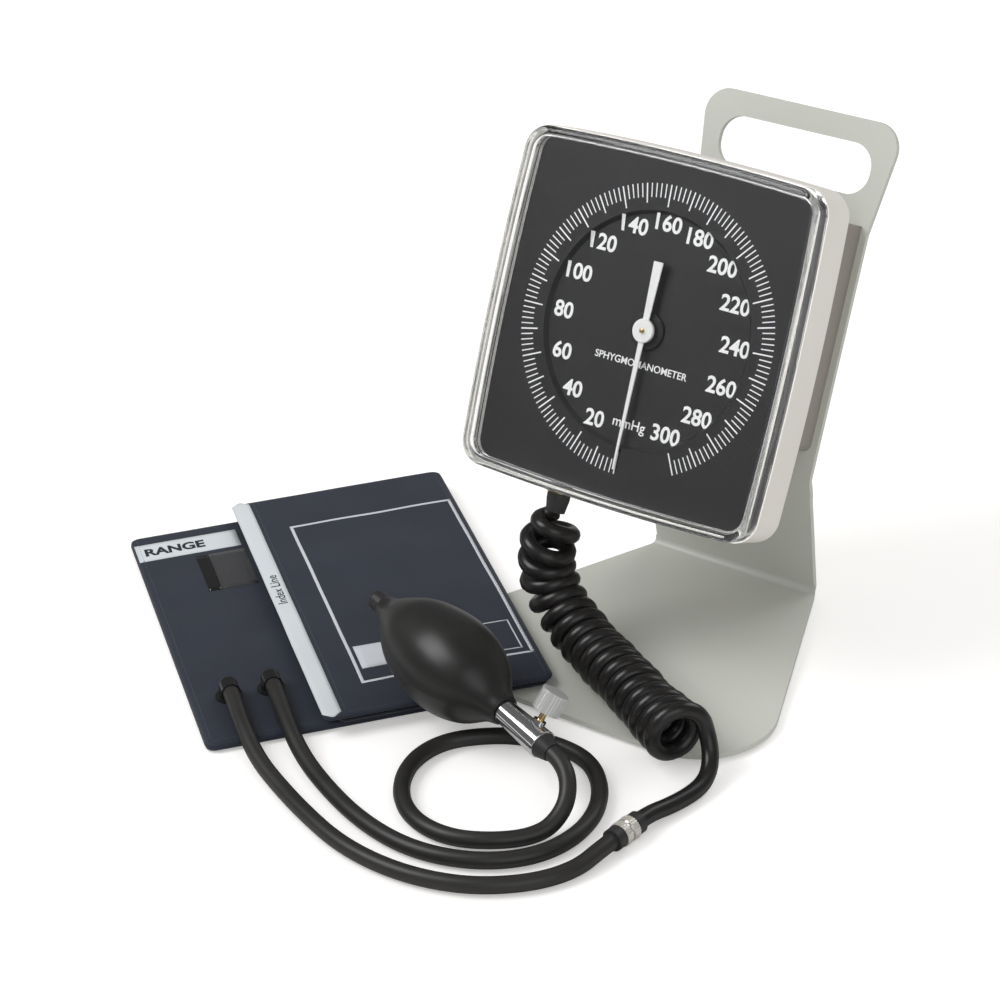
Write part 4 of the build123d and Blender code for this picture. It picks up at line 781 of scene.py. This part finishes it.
def stitch_row(name, path_a, path_b, height, pitch=2.2):
    """Row of short raised stitches: each is a small four-sided bar lying on the cloth."""
    steps = np.concatenate([[0], np.cumsum(np.hypot(np.diff(path_a), np.diff(path_b)))])
    s = np.arange(0, steps[-1] - pitch, pitch)
    a0, b0 = np.interp(s, steps, path_a), np.interp(s, steps, path_b)
    a1, b1 = np.interp(s + pitch * 0.72, steps, path_a), np.interp(s + pitch * 0.72, steps, path_b)
    run = np.stack([a1 - a0, b1 - b0], -1)
    run /= np.maximum(np.linalg.norm(run, axis=1), 1e-9)[:, None]
    side = np.stack([-run[:, 1], run[:, 0]], -1) * 0.22
    z0, z1 = height(a0, b0), height(a1, b1)
    corners = [cuff_point(a0 + side[:, 0], b0 + side[:, 1], z0 + 0.02),
               cuff_point(a0 - side[:, 0], b0 - side[:, 1], z0 + 0.02),
               cuff_point(a1 - side[:, 0], b1 - side[:, 1], z1 + 0.02),
               cuff_point(a1 + side[:, 0], b1 + side[:, 1], z1 + 0.02),
               cuff_point((a0 + a1) / 2, (b0 + b1) / 2, (z0 + z1) / 2 + 0.28)]
    points = np.stack(corners, 1).reshape(-1, 3)
    base = np.arange(len(s))[:, None, None] * 5
    sides = (base + np.array([[0, 1, 4], [1, 2, 4], [2, 3, 4], [3, 0, 4]])).reshape(-1, 3)
    floor = (base + np.array([[3, 2, 1, 0]])).reshape(-1, 4)
    piece = make_piece(name, points, sides.tolist() + floor.tolist(), smooth=False)
    piece.data.materials.append(THREAD)


def frame_lines(name, a0, a1, b0, b1, width, height, lift):
    """Four printed lines that make a rectangle."""
    strip_on(name + "_left", a0, a1, b0, b0 + width, height, lift, LABEL_INK)
    strip_on(name + "_right", a0, a1, b1 - width, b1, height, lift, LABEL_INK)
    strip_on(name + "_top", a0, a0 + width, b0, b1, height, lift, LABEL_INK)
    strip_on(name + "_low", a1 - width, a1, b0, b1, height, lift, LABEL_INK)


def cuff():
    """Under layer with ports and window, folded tail, fastener patches and label flap."""
    under = cloth_layer("cuff_under_layer", 5, 194, -57.5, UNDER_RIGHT, 0.0, FRONT_TOP, 5.0, 11, NYLON,
                        0.6, 0.45, 3.0, base_edge_limit)
    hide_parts("cuff_back_panel", "cuff_front_panel")
    tail = cloth_layer("cuff_folded_layer", 3, 197, 0.5, 96.0, 4.7, 6.3, 5.0, 31, NYLON_DARK,
                       0.0, 0.3, 1.5)
    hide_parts("cuff_folded_tail")
    loop = cloth_layer("cuff_loop_patch", 16, 183, 12, 87.5, 6.35, 7.0, 4.0, 41, LOOP, 0, 0.1, 1.0)
    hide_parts("loop_patch")
    hook = cloth_layer("cuff_hook_patch", 26, 173, 12, 87.5, 7.05, 7.7, 4.0, 42, LOOP, 0, 0.1, 1.0)
    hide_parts("hook_patch")
    flap = cloth_layer("cuff_flap_layer", 0, 199, -6, 97.5, 7.75, FLAP_TOP, 5.0, 21, NYLON,
                       0.5, 0.55, 2.0)
    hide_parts("cuff_label_flap")
    tape = strip_on("cuff_index_tape", -0.5, 198, -6.2, 2.4, flap_height, 0.35, TAPE, 3.0)
    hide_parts("index_tape")
    strip_on("cuff_range_strip", 14, 29.5, -56.5, -7.5, under_height, 0.18, TAPE)
    window = strip_on("cuff_window_mesh", 33, 67, -24.5, -7.0, under_height, 0.25, MESH_CLOTH)
    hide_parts("range_window")
    strip_on("cuff_window_bar", 33, 67, -30.5, -24.5, under_height, 0.3, GLOSS_BLACK)
    frame_lines("label_frame", 30.5, 176, 16, 95, 1.5, flap_height, 0.12)
    strip_on("label_patch", 146, 165, 19, 52, flap_height, 0.12, LABEL_INK)
    frame_lines("label_box", 146, 171, 55, 91, 0.7, flap_height, 0.12)
    on_under = lambda x, y, z: cuff_point(-y, x, under_height(-y, x) + 0.24 + z)
    lettering("range_word", "RANGE", 8.8, -38.5, -22.4, on_under, LABEL_TEXT, 0.02, 0.32)
    on_flap = lambda x, y, z: cuff_point(-y, x, flap_height(-y, x) + 0.40 + z)
    lettering("index_words", "Index Line", 6.4, -1.8, -86.0, on_flap, LABEL_TEXT, 0.02, 0.02, math.pi / 2)
    line = lambda lo, hi: np.linspace(lo, hi, 60)
    stitch_row("stitch_flap_left", line(3, 196), np.full(60, 4.4), flap_height)
    stitch_row("stitch_flap_low", np.full(60, 195.6), line(5, 94), flap_height)
    stitch_row("stitch_flap_top", np.full(60, 3.4), line(5, 94), flap_height)
    stitch_row("stitch_flap_right", line(3, 196), np.full(60, 94.6), flap_height)
    stitch_row("stitch_under_left", line(8, 190), np.full(60, -54.3), under_height)
    stitch_row("stitch_under_low", np.full(60, 190.4), line(-54, -6), under_height)
    stitch_row("stitch_under_top", np.full(60, 8.6), line(-54, -8), under_height)


# ---------------------------------------------------------------- floor, light and camera
def joined(tree, operation, first, second):
    """A math node between a socket and another socket or a number."""
    node = tree.nodes.new("ShaderNodeMath")
    node.operation = operation
    for socket, value in zip(node.inputs, (first, second)):
        if isinstance(value, float):
            socket.default_value = value
        else:
            tree.links.new(value, socket)
    return node.outputs[0]


def straight_view(tree):
    """One where the camera sees the place directly or only through clear plastic, else nought."""
    light = tree.nodes.new("ShaderNodeLightPath")
    dull = joined(tree, "LESS_THAN", light.outputs["Diffuse Depth"], 0.5)
    sharp = joined(tree, "LESS_THAN", light.outputs["Glossy Depth"], 0.5)
    through = joined(tree, "MULTIPLY", light.outputs["Is Transmission Ray"], joined(tree, "MULTIPLY", dull, sharp))
    return joined(tree, "MAXIMUM", light.outputs["Is Camera Ray"], through)


def studio():
    scene = bpy.context.scene
    scene.view_settings.view_transform = "Standard"
    plane = bpy.data.meshes.new("floor")
    size = 6.0
    ring = [(-size, -size), (size, -size), (size, size), (-size, size)]
    plane.from_pydata([(x, y, -0.0002) for x, y in ring], [], [(0, 1, 2, 3)])
    floor = bpy.data.objects.new("floor", plane)
    scene.collection.objects.link(floor)
    material = new_material("floor_white", (0.80, 0.795, 0.785), 0.85)
    nodes, links = material.node_tree.nodes, material.node_tree.links
    glow = nodes.new("ShaderNodeEmission")
    glow.inputs["Color"].default_value = (1, 0.99, 0.98, 1)
    strength = nodes.new("ShaderNodeMath")
    strength.operation = "MULTIPLY"
    strength.inputs[1].default_value = 0.34
    links.new(straight_view(material.node_tree), strength.inputs[0])
    links.new(strength.outputs[0], glow.inputs["Strength"])
    add = nodes.new("ShaderNodeAddShader")
    links.new(nodes["Principled BSDF"].outputs["BSDF"], add.inputs[0])
    links.new(glow.outputs["Emission"], add.inputs[1])
    links.new(add.outputs["Shader"], nodes["Material Output"].inputs["Surface"])
    plane.materials.append(material)

    world = bpy.data.worlds.new("studio")
    scene.world = world
    world.use_nodes = True
    nodes, links = world.node_tree.nodes, world.node_tree.links
    soft = nodes["Background"]
    soft.inputs["Color"].default_value = (1.0, 0.995, 0.99, 1)
    soft.inputs["Strength"].default_value = 0.55
    seen = nodes.new("ShaderNodeBackground")
    seen.inputs["Color"].default_value = (1, 1, 1, 1)
    seen.inputs["Strength"].default_value = 1.0
    light = nodes.new("ShaderNodeLightPath")
    shiny = joined(world.node_tree, "GREATER_THAN", light.outputs["Glossy Depth"], 0.5)
    shiny = joined(world.node_tree, "MAXIMUM", shiny, light.outputs["Is Glossy Ray"])
    dim = nodes.new("ShaderNodeBackground")
    dim.inputs["Color"].default_value = (1, 1, 1, 1)
    dim.inputs["Strength"].default_value = 0.13
    mirrored = nodes.new("ShaderNodeMixShader")
    links.new(shiny, mirrored.inputs["Fac"])
    links.new(soft.outputs["Background"], mirrored.inputs[1])
    links.new(dim.outputs["Background"], mirrored.inputs[2])
    mix = nodes.new("ShaderNodeMixShader")
    links.new(straight_view(world.node_tree), mix.inputs["Fac"])
    links.new(mirrored.outputs["Shader"], mix.inputs[1])
    links.new(seen.outputs["Background"], mix.inputs[2])
    links.new(mix.outputs["Shader"], nodes["World Output"].inputs["Surface"])

    lamp("key", (-0.75, -0.75, 1.25), (0, -0.05, 0.05), 0.9, 13.0)
    lamp("fill", (1.1, -0.9, 0.8), (0, -0.05, 0.1), 1.2, 5.0)
    lamp("back", (0.2, 1.2, 1.0), (0, 0, 0.1), 1.0, 6.0)


def lamp(name, place, target, size, power):
    """Square soft light aimed at a point."""
    data = bpy.data.lights.new(name, "AREA")
    data.size = size
    data.energy = power
    item = bpy.data.objects.new(name, data)
    bpy.context.scene.collection.objects.link(item)
    item.matrix_world = looking(place, target)


def looking(place, target, roll=0.0):
    """Matrix at a place that looks at a target, with Y up and a roll in degrees."""
    place, target = np.array(place, float), np.array(target, float)
    back = (place - target) / np.linalg.norm(place - target)
    right = np.cross([0, 0, 1.0], back)
    right /= np.linalg.norm(right)
    up = np.cross(back, right)
    r = math.radians(roll)
    right, up = math.cos(r) * right + math.sin(r) * up, -math.sin(r) * right + math.cos(r) * up
    matrix = Matrix.Identity(4)
    for i in range(3):
        matrix[i][0], matrix[i][1], matrix[i][2], matrix[i][3] = right[i], up[i], back[i], place[i]
    return matrix


def camera():
    data = bpy.data.cameras.new("camera")
    data.sensor_width = 36
    data.lens = 116.85
    data.clip_end = 20
    item = bpy.data.objects.new("camera", data)
    bpy.context.scene.collection.objects.link(item)
    item.matrix_world = looking((0.7031, -1.0205, 0.7744), (-0.1057, 0.033, 0.0263), -2.7)
    bpy.context.scene.camera = item


finish_nodes()
dial_ticks()
dial_numbers()
hub_cap()
hoses()
squeeze_bulb()
cuff()
studio()
camera()
